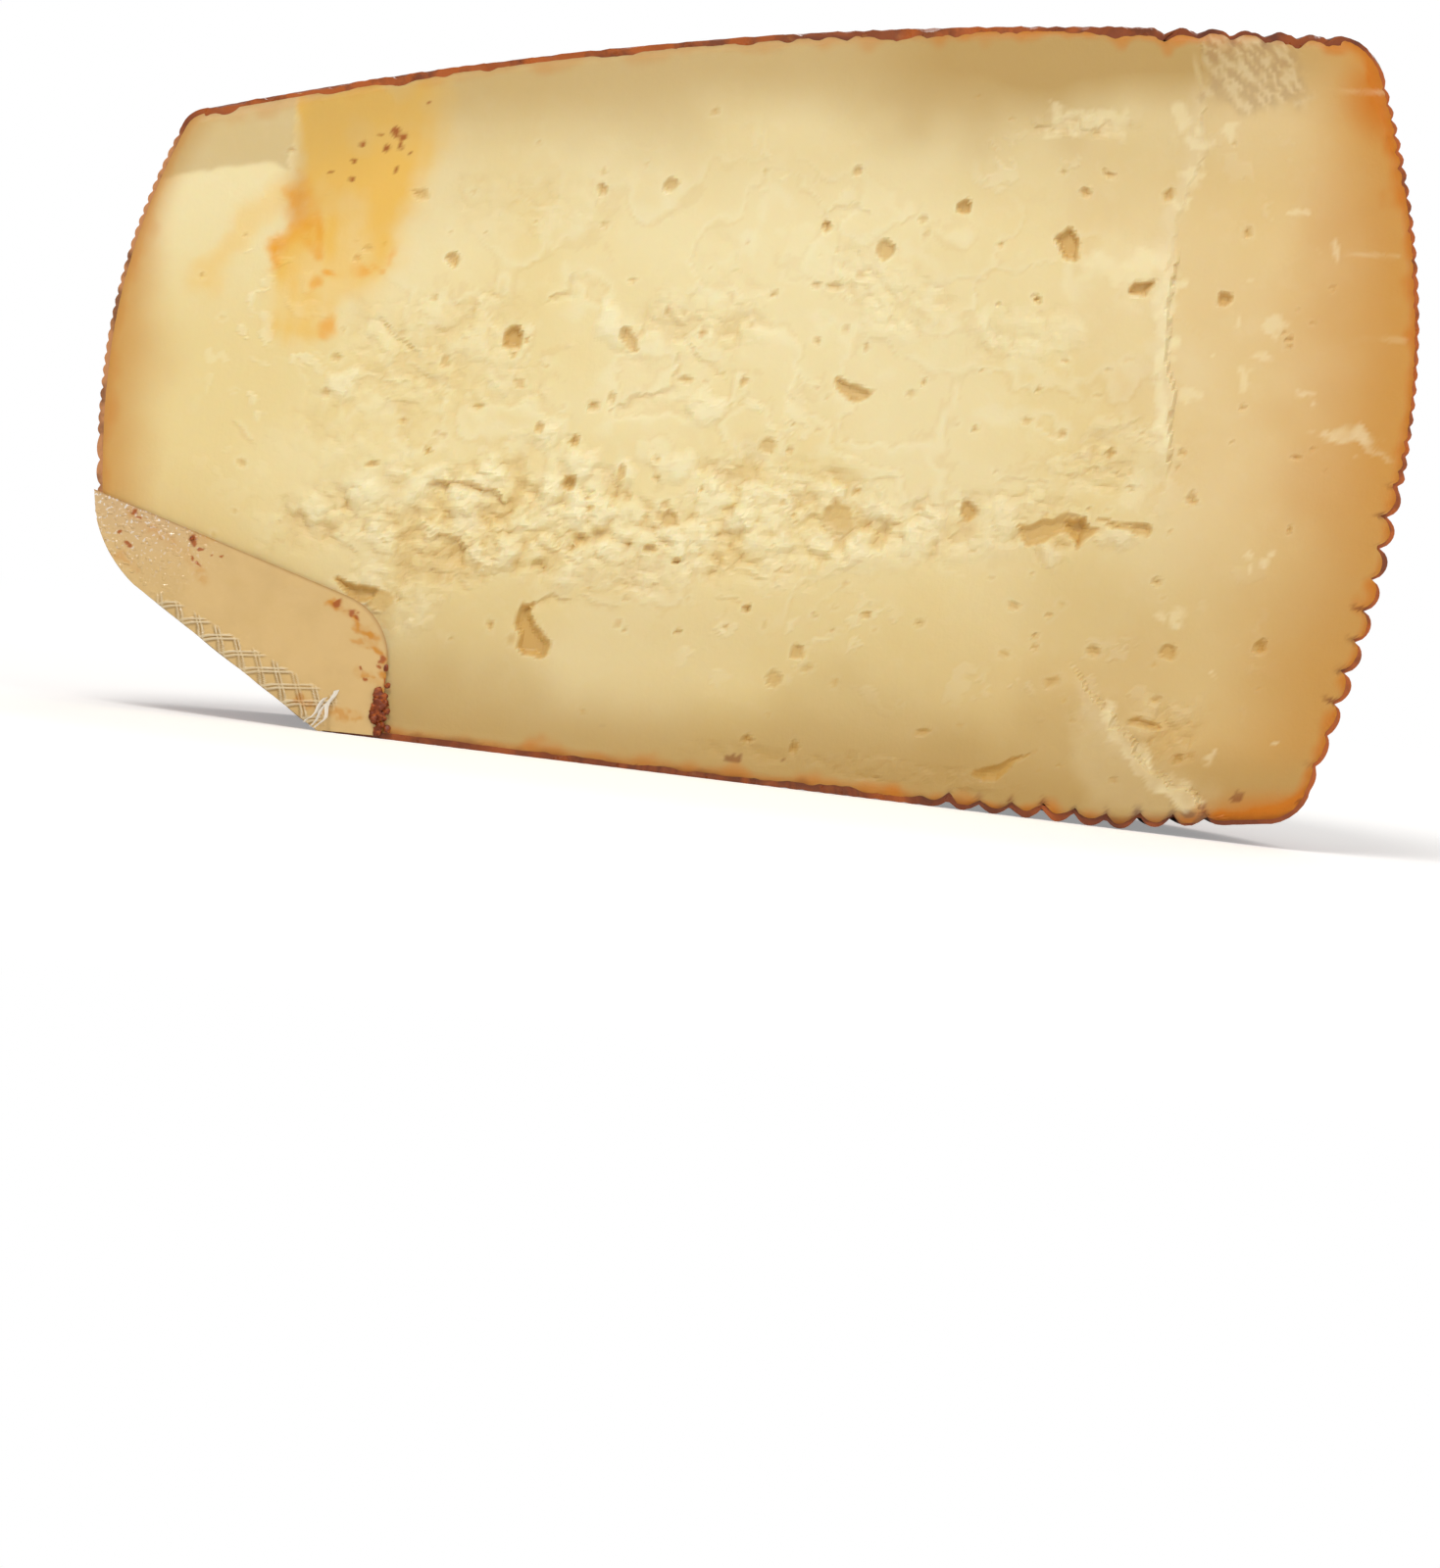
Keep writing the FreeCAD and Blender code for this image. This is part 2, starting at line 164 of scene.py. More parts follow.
def bandNotch(share, turn):
    # depth of the mould band's grooves: coarse low on the side, fine above
    split, around = wheel["coarseShare"], turn * 230
    wander = share + 0.0016 * lumps(around, 0, share * 60, 9, 31)
    coarse = (1 - np.abs(np.sin(np.pi * wheel["coarseRows"] * wander / split)) ** 0.5)
    coarse = coarse * between(wheel["coarseDepth"], turn)
    fine = (1 - np.abs(np.sin(np.pi * wheel["fineRows"] * (wander - split) / (1 - split))) ** 0.9)
    fine = fine * between(wheel["fineDepth"], turn)
    change = smooth(split - 0.012, split + 0.012, share)
    ends = smooth(0, 0.015, share) * smooth(1, 0.985, share)
    uneven = 1 + 0.35 * lumps(around, 0, share * 90, 7, 32)
    return (coarse * (1 - change) + fine * change) * ends * uneven


def reedNotch(x, y, reeds):
    # depth of the board's grooves, which run from front to back
    first, last, depth = reeds
    phase = (x - first + 0.35 * lumps(x, y, 0, 11, 33)) / wheel["reedPitch"]
    notch = (1 - np.abs(np.sin(np.pi * phase)) ** 0.8) * depth
    inside = smooth(first - 1.6, first - 0.8, x) * smooth(last + 1.6, last + 0.8, x)
    return notch * inside * (1 + 0.3 * lumps(x, y, 0, 5, 34))


def smallNotch(x, y):
    # low bumps where the board's reeds hardly took
    ridges = np.abs(np.sin(np.pi * (x + 0.5 * lumps(x, y, 0, 6, 35)) / 1.75)) ** 0.7
    return 0.2 * (1 - ridges) * (0.6 + 0.8 * np.clip(lumps(x, y, 0, 9, 36), -0.5, 1)) * smooth(7, 2, y)


facetHigh = (-float(sideRadius(1.0, wheel["cornerHigh"])), wheel["cornerHigh"])
facetLow = (-halfWidth + wheel["cornerRun"], wheel["cornerLow"])
facetRun = (facetLow[0] - facetHigh[0], facetLow[1] - facetHigh[1])
facetLength = math.hypot(*facetRun)
facetOut = (facetRun[1] / facetLength, -facetRun[0] / facetLength)      # out of the cheese, down left
cornerSlope = math.tan(math.radians(wheel["cornerFade"]))
sideUp = Vector((-float(sideRadius(1.0, wheel["cornerHigh"] + 7)) - facetHigh[0], 7)).normalized()
facetDown = Vector(facetRun).normalized()
cornerHalf = sideUp.angle(facetDown) / 2                    # half the angle between the side and the facet
intoCorner = (sideUp + facetDown).normalized()


def trimCorner(x, y, z, out=0.0):
    # pulls what lies outside the short corner's facet back onto it, then eases the turn from the side
    over = (x - facetHigh[0]) * facetOut[0] + (z - facetHigh[1]) * facetOut[1] - y * cornerSlope
    over = np.maximum(over - out, 0)
    x, z = x - over * facetOut[0], z - over * facetOut[1]
    inset = facetHigh[0] * (np.sqrt(np.maximum(1 - (y / wheel["backDepth"]) ** 2, 0)) - 1)
    radius = wheel["cornerEase"] * smooth(45, 8, y)
    reach = radius / math.sin(cornerHalf)
    middleX = facetHigh[0] + inset + reach * intoCorner[0]
    middleZ = facetHigh[1] + (y * cornerSlope - inset * facetOut[0]) / facetOut[1] + reach * intoCorner[1]
    awayX, awayZ = x - middleX, z - middleZ
    away = np.hypot(awayX, awayZ)
    belowSide = awayX * sideUp.x + awayZ * sideUp.y < 0
    beforeFacet = awayX * facetDown.x + awayZ * facetDown.y < 0
    eased = belowSide & beforeFacet & (away > radius + out)
    pull = np.where(eased, (radius + out) / np.maximum(away, 1e-6), 1)
    return middleX + awayX * pull, middleZ + awayZ * pull


def rindPoint(part, value, turn, notched=True):
    # x, y, z and groove depth of the rind's outside; part is a stretch of the way up, value where on it
    rim, cosine, sine = between(wheel["rim"], turn), np.cos(np.pi * turn), np.sin(np.pi * turn)
    sine = np.where((turn <= 0) | (turn >= 1), 0, sine)
    base, head = np.zeros_like(turn), np.full_like(turn, 60.0)
    bend = np.full_like(turn, math.pi / 2)          # how far the rim turns before it meets the top's slope
    for _ in range(12):
        base = baseHeight(cosine * (sideRadius(turn, base) - rim))
        edge = sideRadius(turn, head + rim * np.sin(bend)) - rim * (1 - np.cos(bend))
        slope = topHeight((edge + 0.5) * cosine) - topHeight((edge - 0.5) * cosine)
        bend = math.pi / 2 + np.arctan(np.minimum(slope, 0))
        head = topHeight(edge * cosine) - rim * np.sin(bend)
    foot, notch = base + rim, np.zeros_like(turn)
    if part in ("base", "top"):
        onBase = part == "base"
        angle, level = (math.pi / 2, base) if onBase else (bend, head + rim * np.sin(bend))
        radius = value * (sideRadius(turn, level) - rim * (1 - np.cos(angle)))
        x, y = radius * cosine, radius * sine
        reeds, small = (wheel["baseReeds"], 0.5) if onBase else (wheel["topReeds"], 1.0)
        notch = (reedNotch(x, y, reeds) + small * smallNotch(x, y)) * smooth(1.0, 0.97, value)
        dent = notch if notched else 0
        return x, y, baseHeight(x) + dent if onBase else topHeight(x) - dent, notch
    if part == "side":
        z = foot + (head - foot) * value
        notch = bandNotch(np.full_like(turn, value), turn)
        radius = sideRadius(turn, z) - (notch if notched else 0)
    else:
        angle = value * (math.pi / 2 if part == "foot" else bend)
        z = foot - rim * np.sin(angle) if part == "foot" else head + rim * np.sin(angle)
        radius = sideRadius(turn, z) - rim * (1 - np.cos(angle))
    return radius * cosine, radius * sine, z, notch


# outline of the cut face

def faceOutline(spacing):
    # one closed line round the face, right side going up: part, smooth place, way in and groove depth
    halves = []
    for turn in (0.0, 1.0):
        stretches = []
        for part, first, last, length in (("base", 0, 1, halfWidth), ("foot", 1, 0, 5.6), ("side", 0, 1, 80),
                                          ("head", 0, 1, 5.6), ("top", 1, 0, halfWidth)):
            for value in np.linspace(first, last, max(6, round(length / spacing)), endpoint=False):
                x, _, z, notch = rindPoint(part, float(value), np.array([turn]), notched=False)
                stretches.append((part, x[0], z[0], notch[0]))
        halves.append(stretches)
    line = halves[0] + halves[1][:0:-1]
    x, z, depth = (np.array([entry[axis] for entry in line]) for axis in (1, 2, 3))
    trimmedX, trimmedZ = trimCorner(x, 0, z)
    depth[np.hypot(trimmedX - x, trimmedZ - z) > 1e-6] = 0
    place = np.stack([trimmedX, trimmedZ], axis=1)
    along = np.roll(place, -3, axis=0) - np.roll(place, 3, axis=0)
    along = along / np.maximum(np.linalg.norm(along, axis=1, keepdims=True), 1e-9)
    return [entry[0] for entry in line], place, np.stack([-along[:, 1], along[:, 0]], axis=1), depth


def resample(points, count):
    # count points evenly spaced along a polyline, its ends kept
    steps = np.linalg.norm(np.diff(points[:, :2], axis=0), axis=1)
    run = np.concatenate([[0], np.cumsum(steps)])
    wanted = np.linspace(0, run[-1], count)
    return np.stack([np.interp(wanted, run, points[:, axis]) for axis in range(points.shape[1])], axis=1)


outlineParts, outlinePlace, outlineInward, outlineDepth = faceOutline(0.12)
outlineX, outlineZ = outlinePlace.T
rightThick, leftThick = wheel["edgeThick"]
edgeThick = leftThick + (rightThick - leftThick) * smooth(-60, 60, outlineX)
edgeThick = edgeThick + np.array([wheel["flatEdge"].get(part, 0.0) for part in outlineParts])
unevenEdge = 1 + 0.6 * lumps(outlineX, 0, outlineZ, 5, 37) + 0.45 * lumps(outlineX, 0, outlineZ, 1.6, 38)
pasteOutline = outlinePlace + outlineInward * (edgeThick * unevenEdge)[:, None]
report("outline of the cut face")


# helpers for materials

def linear(hexColor):
    # an sRGB hex colour as the linear colour that a shader takes
    channels = [int(hexColor[i:i + 2], 16) / 255 for i in (1, 3, 5)]
    return tuple(c / 12.92 if c <= 0.04045 else ((c + 0.055) / 1.055) ** 2.4 for c in channels) + (1.0,)


def addNode(tree, kind, inputs=None, **settings):
    # a node with its settings; an input is a value or the socket that feeds it
    node = tree.nodes.new(kind)
    for name, value in settings.items():
        setattr(node, name, value)
    for name, value in (inputs or {}).items():
        if isinstance(value, bpy.types.NodeSocket):
            tree.links.new(value, node.inputs[name])
        else:
            node.inputs[name].default_value = value
    return node


def newMaterial(name):
    material = bpy.data.materials.new(name)
    material.use_nodes = True
    material.node_tree.nodes.clear()
    return material, material.node_tree


# helpers for meshes

def deselectAll():
    if bpy.context.mode != "OBJECT":
        bpy.ops.object.mode_set(mode="OBJECT")
    bpy.ops.object.select_all(action="DESELECT")


def startGrid(name, columns, rows):
    # a flat grid primitive, with the share across and up of each of its vertices
    deselectAll()
    bpy.ops.mesh.primitive_grid_add(x_subdivisions=columns - 1, y_subdivisions=rows - 1, size=1)
    piece = bpy.context.object
    piece.name = piece.data.name = name
    flat = np.empty(len(piece.data.vertices) * 3)
    piece.data.vertices.foreach_get("co", flat)
    flat = flat.reshape(-1, 3)
    column = np.rint((flat[:, 0] + 0.5) * (columns - 1)).astype(int)
    row = np.rint((flat[:, 1] + 0.5) * (rows - 1)).astype(int)
    return piece, column, row


def placeVertices(piece, x, y, z):
    # x, y, z in mm, y from the cut face backwards
    places = np.stack([x, y + faceY, z], axis=1) * millimetre
    piece.data.vertices.foreach_set("co", places.ravel())
    piece.data.update()


def paint(piece, name, values):
    attribute = piece.data.attributes.new(name, "FLOAT", "POINT")
    attribute.data.foreach_set("value", np.asarray(values, dtype=np.float32))


def closeEdge(piece, rings, weld=0.0):
    # extrudes the open edge for each ring, a step back in mm and a shrink, and closes the last one
    bpy.context.view_layer.objects.active = piece
    piece.select_set(True)
    bpy.ops.object.mode_set(mode="EDIT")
    bpy.ops.mesh.select_mode(type="VERT" if weld else "EDGE")
    bpy.ops.mesh.select_all(action="SELECT")
    if weld:
        bpy.ops.mesh.remove_doubles(threshold=weld * millimetre)
        bpy.ops.mesh.select_all(action="SELECT")
    bpy.ops.mesh.region_to_loop()
    for back, shrink in rings:
        bpy.ops.mesh.extrude_edges_move(TRANSFORM_OT_translate={"value": (0, back * millimetre, 0)})
        if shrink != 1:
            bpy.ops.transform.resize(value=(shrink, 1, shrink))
    bpy.ops.mesh.edge_face_add()
    bpy.ops.mesh.select_all(action="SELECT")
    bpy.ops.mesh.normals_make_consistent(inside=False)
    bpy.ops.object.mode_set(mode="OBJECT")


# camera and light

camera = {
    "roll": 7.0,                             # the half wheel leans this much in the view
    "aim": (1.1, -0.4),                      # across and up, in mm, in the cut face
    "frameWidth": 164.3,                     # mm across the view at the cut face
    "distance": 1150.0,
    "rise": 2.0,                             # degrees above the table
}


def addCamera():
    data = bpy.data.cameras.new("camera")
    view = bpy.data.objects.new("camera", data)
    bpy.context.scene.collection.objects.link(view)
    imageWidth, imageHeight = 1469, 1600
    data.sensor_fit = "VERTICAL"
    data.sensor_height = data.sensor_width = 36
    data.lens = 36 * camera["distance"] * imageWidth / imageHeight / camera["frameWidth"]
    data.clip_start, data.clip_end = 0.05, 30
    aim = Vector((camera["aim"][0], faceY, camera["aim"][1]))
    rise, roll = math.radians(camera["rise"]), math.radians(camera["roll"])
    away = Vector((0, -math.cos(rise), math.sin(rise)))
    right = Vector((-math.sin(roll), 0, math.cos(roll))).cross(away).normalized()
    turned = Matrix((right, away.cross(right).normalized(), away)).transposed().to_4x4()
    view.matrix_world = Matrix.Translation((aim + away * camera["distance"]) * millimetre) @ turned
    bpy.context.scene.camera = view


lamps = {
    # name: place and size in m, power in W
    "keyLight": ((-0.25, -0.85, 1.0), 0.5, 8.2),
    "fillLight": ((0.75, -0.95, 0.35), 0.8, 2.6),
    "backLight": ((0.25, 0.9, 0.8), 0.7, 4.4),
}
room = {"ambient": 0.36, "floorReach": 0.55}     # world strength; how far, in m, the floor keeps its shade


def seenByCamera(tree):
    # 1 for rays that come from the camera, also through the film
    rays = addNode(tree, "ShaderNodeLightPath").outputs
    return addNode(tree, "ShaderNodeMath", {0: rays["Is Camera Ray"], 1: rays["Is Transmission Ray"]},
                   operation="MAXIMUM").outputs[0]


def addLights():
    for name, (place, size, power) in lamps.items():
        data = bpy.data.lights.new(name, "AREA")
        data.shape, data.size, data.energy = "DISK", size, power
        lamp = bpy.data.objects.new(name, data)
        bpy.context.scene.collection.objects.link(lamp)
        lamp.location = place
        lamp.rotation_euler = (Vector((0, 0, 0.045)) - Vector(place)).to_track_quat("-Z", "Y").to_euler()
    world = bpy.data.worlds.new("softRoom")
    bpy.context.scene.world = world
    world.use_nodes = True
    tree = world.node_tree
    tree.nodes.clear()
    strength = addNode(tree, "ShaderNodeMapRange", {"Value": seenByCamera(tree), "To Min": room["ambient"],
                                                    "To Max": 1.0})
    glow = addNode(tree, "ShaderNodeBackground", {"Color": (1, 1, 1, 1), "Strength": strength.outputs[0]})
    addNode(tree, "ShaderNodeOutputWorld", {"Surface": glow.outputs[0]})


def addFloor():
    deselectAll()
    bpy.ops.mesh.primitive_plane_add(size=60, location=(0, 0, 0))
    floor = bpy.context.object
    floor.name = "floor"
    material, tree = newMaterial("paleTable")
    matte = addNode(tree, "ShaderNodeBsdfDiffuse", {"Color": linear("#EFEDEA")}).outputs[0]
    lift = addNode(tree, "ShaderNodeEmission", {"Color": (1, 1, 1, 1), "Strength": 0.3}).outputs[0]
    plain = addNode(tree, "ShaderNodeEmission", {"Color": (1, 1, 1, 1), "Strength": 1.0}).outputs[0]
    near = addNode(tree, "ShaderNodeAddShader", {0: matte, 1: lift}).outputs[0]
    place = addNode(tree, "ShaderNodeTexCoord").outputs["Object"]
    length = addNode(tree, "ShaderNodeVectorMath", {0: place}, operation="LENGTH").outputs["Value"]
    reach = {"Value": length, "From Min": 0.12, "From Max": room["floorReach"]}
    far = addNode(tree, "ShaderNodeMapRange", reach, interpolation_type="SMOOTHSTEP").outputs[0]
    table = addNode(tree, "ShaderNodeMixShader", {0: far, 1: near, 2: plain}).outputs[0]
    mix = addNode(tree, "ShaderNodeMixShader", {0: seenByCamera(tree), 1: matte, 2: table}).outputs[0]
    addNode(tree, "ShaderNodeOutputMaterial", {"Surface": mix})
    floor.data.materials.append(material)


addCamera()
addLights()
addFloor()
bpy.context.scene.view_settings.view_transform = "Standard"
report("camera, light and floor")


# relief of the cut face

paste = {
    "columns": 386, "rows": 238,             # cells of about 0.39 mm
    "dentReach": 9,                          # cells over which the rind's grooves dent the edge
    "slabDepth": 11.0, "slabShrink": 0.97,
    "wave": 0.22, "ripple": 0.04,            # slow and fine unevenness of the cut, in mm
    "moundRise": 1.5, "curdRise": 0.42, "flakeRise": 0.09, "plateRise": 0.1,
}

# eyes in mm: across, up, width, height, turn in degrees, depth
eyes = [
    (-28.4, 47.3, 2.7, 3.2, 0, 2.4), (33.1, 65.5, 2.7, 3.9, 24, 2.1), (20.7, 68.2, 2.1, 2.1, 10, 1.8),
    (12.5, 62.4, 2.9, 2.5, -20, 1.4), (5.4, 64.3, 1.3, 1.6, 15, 1.6), (41.6, 61.5, 2.5, 2.2, 4, 2.1),
    (51.4, 61.4, 1.9, 1.8, 0, 1.6), (25.4, 33.8, 2.3, 2.2, 0, 2.2), (30.2, 58.8, 1.3, 0.9, -30, 1.5),
    (5.0, 57.4, 1.6, 0.9, 10, 0.9), (7.2, 57.5, 2.6, 1.1, 0, 1.0), (0.4, 55.8, 1.7, 0.7, 35, 1.5),
    (9.0, 52.8, 1.0, 1.3, 0, 0.6), (6.0, 51.0, 0.9, 1.1, 0, 0.9), (11.6, 51.1, 0.9, 1.2, 0, 0.9),
    (11.0, 46.1, 3.6, 1.7, -18, 1.0), (10.7, 45.0, 1.5, 1.0, 0, 1.9), (7.9, 44.9, 1.1, 0.5, 45, 0.9),
    (18.5, 47.9, 0.9, 1.0, 0, 0.9), (25.0, 43.3, 1.0, 1.0, 0, 0.9), (30.8, 45.0, 1.1, 1.1, 0, 0.5),
    (34.9, 44.0, 1.2, 1.2, 0, 0.8), (38.4, 48.8, 0.8, 0.8, 0, 0.5), (39.2, 51.7, 0.7, 0.7, 0, 0.5),
    (40.6, 42.5, 1.2, 1.2, 45, 1.3), (9.8, 36.5, 1.8, 1.1, 0, 1.0), (-36.4, 55.3, 1.8, 1.8, 0, 1.4),
    (-40.9, 62.1, 2.0, 1.3, -30, 0.9), (-12.9, 66.6, 1.6, 2.1, -40, 1.1), (-20.4, 65.2, 1.3, 1.9, 20, 1.2),
    (8.2, 70.9, 1.3, 1.3, 0, 0.9), (3.5, 5.0, 1.3, 1.1, 0, 1.1), (8.9, 4.6, 1.2, 1.6, 0, 1.1),
    (8.2, 15.7, 1.6, 2.0, 10, 1.1), (5.8, 12.2, 2.0, 2.2, 10, 0.8), (15.4, 20.8, 1.5, 1.1, 0, 1.1),
    (34.8, 19.5, 1.2, 1.0, 0, 0.9), (41.5, 19.8, 1.8, 1.3, 0, 1.1), (49.8, 20.8, 2.3, 2.0, 10, 1.2),
    (60.3, 22.7, 1.8, 2.4, -25, 1.2), (-7.1, 50.4, 0.9, 2.2, -12, 1.3),
    (-11.3, 52.1, 0.9, 2.3, 4, 1.2), (-8.4, 44.9, 2.0, 1.0, -6, 1.2), (31.6, 48.6, 0.9, 0.9, 0, 0.6),
    (-29.0, 23.5, 0.8, 1.3, 0, 1.3), (-24.3, 37.4, 1.1, 1.7, 0, 1.1), (-20.1, 36.4, 1.4, 1.8, 0, 1.7),
    (-36.6, 33.3, 1.0, 1.3, 20, 1.1), (-35.9, 35.4, 0.9, 1.0, 0, 0.6), (-39.8, 36.3, 1.2, 0.9, 0, 1.3),
    (-20.3, 31.6, 1.7, 1.9, 0, 1.9), (-14.4, 33.4, 1.2, 2.6, 0, 0.9), (-10.6, 35.5, 0.8, 1.1, 0, 1.1),
    (-10.3, 33.3, 0.9, 1.2, 0, 0.8), (-8.3, 28.9, 2.3, 2.0, 0, 1.5), (-10.1, 25.3, 2.2, 1.6, 0, 1.4),
    (-6.9, 24.2, 1.4, 0.9, 0, 1.6), (-12.5, 25.5, 0.8, 0.8, 0, 1.6), (-5.2, 32.8, 0.8, 0.9, 0, 1.1),
    (-1.0, 33.1, 0.8, 0.6, 0, 1.0), (1.8, 38.6, 2.3, 2.1, -20, 0.9), (4.3, 38.3, 1.1, 0.9, 20, 0.9),
    (4.3, 41.3, 0.8, 0.9, 0, 0.5), (7.3, 41.1, 0.8, 0.9, 0, 0.5), (1.7, 19.8, 1.2, 1.1, -30, 1.4),
    (9.4, 20.0, 0.8, 0.8, 0, 0.9), (11.5, 21.2, 0.7, 0.7, 0, 0.6), (-5.8, 16.2, 1.1, 0.9, 0, 1.2),
    (-27.1, 14.4, 0.9, 1.4, 10, 1.3), (-11.9, 15.7, 0.6, 0.7, 0, 1.0), (-31.3, 12.4, 0.7, 0.8, 0, 0.7),
    (36.4, 74.0, 2.0, 0.8, -30, 0.9), (34.2, 71.6, 1.8, 1.2, -35, 1.0), (43.6, 72.4, 1.2, 2.0, -15, 0.9),
    (53.0, 69.2, 1.1, 1.6, -15, 0.9), (47.6, 28.6, 1.5, 1.0, 0, 0.9), (-48.2, 42.5, 1.4, 1.0, 0, 0.8),
    (-31.5, 39.0, 1.8, 0.9, 15, 1.1), (-18.4, 40.6, 1.5, 1.2, 10, 1.2), (-32.5, 19.0, 1.2, 1.4, 0, 1.0),
    (59.2, 57.8, 1.0, 0.8, 0, 0.8), (62.0, 36.2, 0.8, 1.3, 0, 0.7), (50.5, 38.3, 1.3, 1.7, 30, 1.0),
    (23.3, 8.3, 2.2, 1.0, 25, 1.1), (11.7, 18.6, 0.9, 0.8, 0, 0.6), (21.4, 20.5, 1.3, 1.1, 30, 0.9),
    (31.9, 23.8, 1.8, 1.2, -10, 0.7), (36.0, 23.3, 1.0, 0.9, 0, 0.7), (34.6, 20.7, 1.0, 0.9, -30, 1.0),
    (31.5, 18.3, 1.5, 1.2, 0, 0.7), (37.3, 15.9, 1.9, 1.2, 20, 0.9), (49.3, 15.2, 1.5, 0.8, 15, 1.0),
    (52.5, 8.8, 1.3, 1.4, 0, 1.0), (43.4, 38.7, 1.3, 0.9, -15, 0.9), (28.0, 38.8, 0.8, 0.8, 0, 0.6),
    (12.4, 34.7, 1.4, 1.1, 0, 1.2), (19.7, 33.6, 1.9, 0.9, 15, 1.2), (26.4, 29.4, 0.8, 0.8, 0, 0.6),
    (28.9, 26.8, 0.7, 0.7, 0, 0.6), (-0.6, 17.4, 0.7, 0.9, 0, 0.9), (-1.9, 45.4, 1.1, 1.6, 0, 0.9),
    (-16.5, 41.8, 1.0, 1.5, 0, 0.9), (-42.8, 31.0, 1.9, 1.0, 15, 1.0), (-35.8, 43.5, 1.4, 2.0, 20, 0.8),
    (-41.3, 46.2, 1.5, 0.8, 20, 0.8), (-40.0, 44.6, 0.8, 0.9, 0, 0.9), (-13.5, 31.0, 1.2, 1.7, 30, 0.9),
]

# rounded lumps that stand out of the crumb: middle in mm, reach
curdLumps = [
    (-22.4, 31.5, 2.3), (-23.8, 37.1, 1.8), (-8.6, 35.6, 2.0), (-7.1, 26.2, 1.7), (-31.3, 25.9, 2.4),
    (-43.2, 28.6, 3.0), (-29.3, 32.3, 1.8), (-19.3, 34.2, 1.8), (-13.8, 33.6, 1.6), (-5.2, 41.4, 2.0),
    (-46.6, 39.8, 2.2), (-17.2, 50.2, 2.0), (-36.0, 29.6, 2.0), (3.6, 31.4, 2.0), (15.4, 32.6, 1.8),
    (-26.8, 22.6, 1.8), (22.6, 32.0, 1.6), (-1.0, 28.6, 1.5), (-16.0, 28.4, 1.9), (9.4, 28.6, 1.6),
    (35.2, 30.6, 1.5), (42.4, 32.6, 1.7),
]

# where the curd broke instead of cutting: middle across and up, reach, turn in degrees, roughness
brokenZones = [
    (-24.0, 26.5, 25.0, 9.0, 6, 1.0), (4.0, 30.5, 22.0, 8.0, 6, 0.85), (34.0, 33.0, 15.0, 5.5, 6, 0.7),
    (-34.0, 46.5, 14.0, 9.0, 8, 0.45), (-8.0, 52.0, 14.0, 9.0, 8, 0.5), (12.0, 57.5, 9.0, 5.0, 0, 0.5),
    (30.0, 54.4, 8.0, 3.6, 6, 0.4), (40.0, 41.0, 6.5, 6.0, 0, 0.6), (-38.0, 18.0, 8.0, 6.0, 20, 0.7),
    (34.0, 79.0, 7.0, 1.6, 4, 0.6), (50.0, 12.0, 6.0, 5.5, -40, 0.5), (-28.0, 62.0, 10.0, 5.0, 10, 0.25),
    (-46.0, 34.0, 8.0, 8.0, 0, 0.3), (17.5, 3.5, 30.0, 1.4, 0, 0.3),
]

# ledges where one plate of curd overhangs the next: points along in mm, how far the dip reaches below, depth
ledges = [
    ([(-35.4, 29.6), (-33.2, 30.2), (-31.0, 30.2), (-29.2, 29.8), (-27.4, 28.8)], 1.7, 2.8),
    ([(-34.4, 23.9), (-31.9, 23.9), (-30.8, 22.9), (-31.0, 21.4)], 1.2, 2.2),
    ([(-27.4, 25.4), (-25.9, 25.5), (-24.7, 25.9)], 1.0, 1.2), ([(-36.6, 26.2), (-35.2, 24.6)], 1.2, 0.9),
    ([(14.4, 31.2), (16.0, 30.4), (18.0, 30.4)], 1.2, 0.9),
    ([(18.8, 34.2), (21.4, 34.0), (23.6, 34.6)], 1.2, 0.8),
    ([(12.2, 34.2), (14.0, 36.4), (16.4, 36.9)], 1.0, 0.8),
    ([(-2.8, 23.4), (0.4, 24.2), (2.8, 23.6)], 1.0, 0.8),
    ([(15.9, 58.2), (18.8, 59.2), (22.6, 60.1), (25.6, 61.6), (31.6, 62.9)], 0.35, 0.5),
    ([(-49.8, 22.9), (-46.6, 22.2), (-43.6, 21.0)], 1.6, 0.7),
    ([(-34.6, 20.4), (-31.6, 19.6), (-30.2, 18.6)], 1.2, 0.9), ([(-16.8, 18.6), (-13.4, 18.4)], 1.0, 0.6),
    ([(-43.4, 47.4), (-41.2, 45.8), (-39.4, 44.2)], 0.8, 1.2),
    ([(-24.8, 52.2), (-23.4, 53.2), (-23.2, 54.8)], 0.8, 1.3),
    ([(-15.4, 41.4), (-12.2, 42.6), (-10.2, 43.8), (-9.8, 47.0)], 1.2, 1.3),
    ([(-8.8, 49.8), (-6.8, 47.2), (-4.2, 45.8)], 0.5, 1.1),
    ([(-45.4, 40.6), (-42.4, 40.2), (-40.2, 41.0)], 1.1, 0.8),
    ([(7.6, 31.6), (8.6, 30.6), (10.4, 29.7), (12.6, 30.0)], 0.9, 1.4),
    ([(37.6, 43.4), (40.0, 44.6), (43.0, 46.6)], 1.2, 0.7),
    ([(28.6, 38.0), (31.0, 38.6), (33.6, 38.2)], 1.0, 0.7),
    ([(36.4, 39.8), (39.6, 40.4), (42.0, 40.0)], 1.2, 0.9),
    ([(-22.0, 17.6), (-20.8, 18.5), (-19.2, 18.7)], 0.9, 1.4), ([(-1.6, 20.4), (0.6, 20.4)], 0.6, 0.9),
    ([(-58.6, 33.6), (-56.8, 32.0)], 1.2, 0.5), ([(4.8, 65.8), (7.2, 66.8), (9.6, 66.2)], 1.2, 0.7),
]

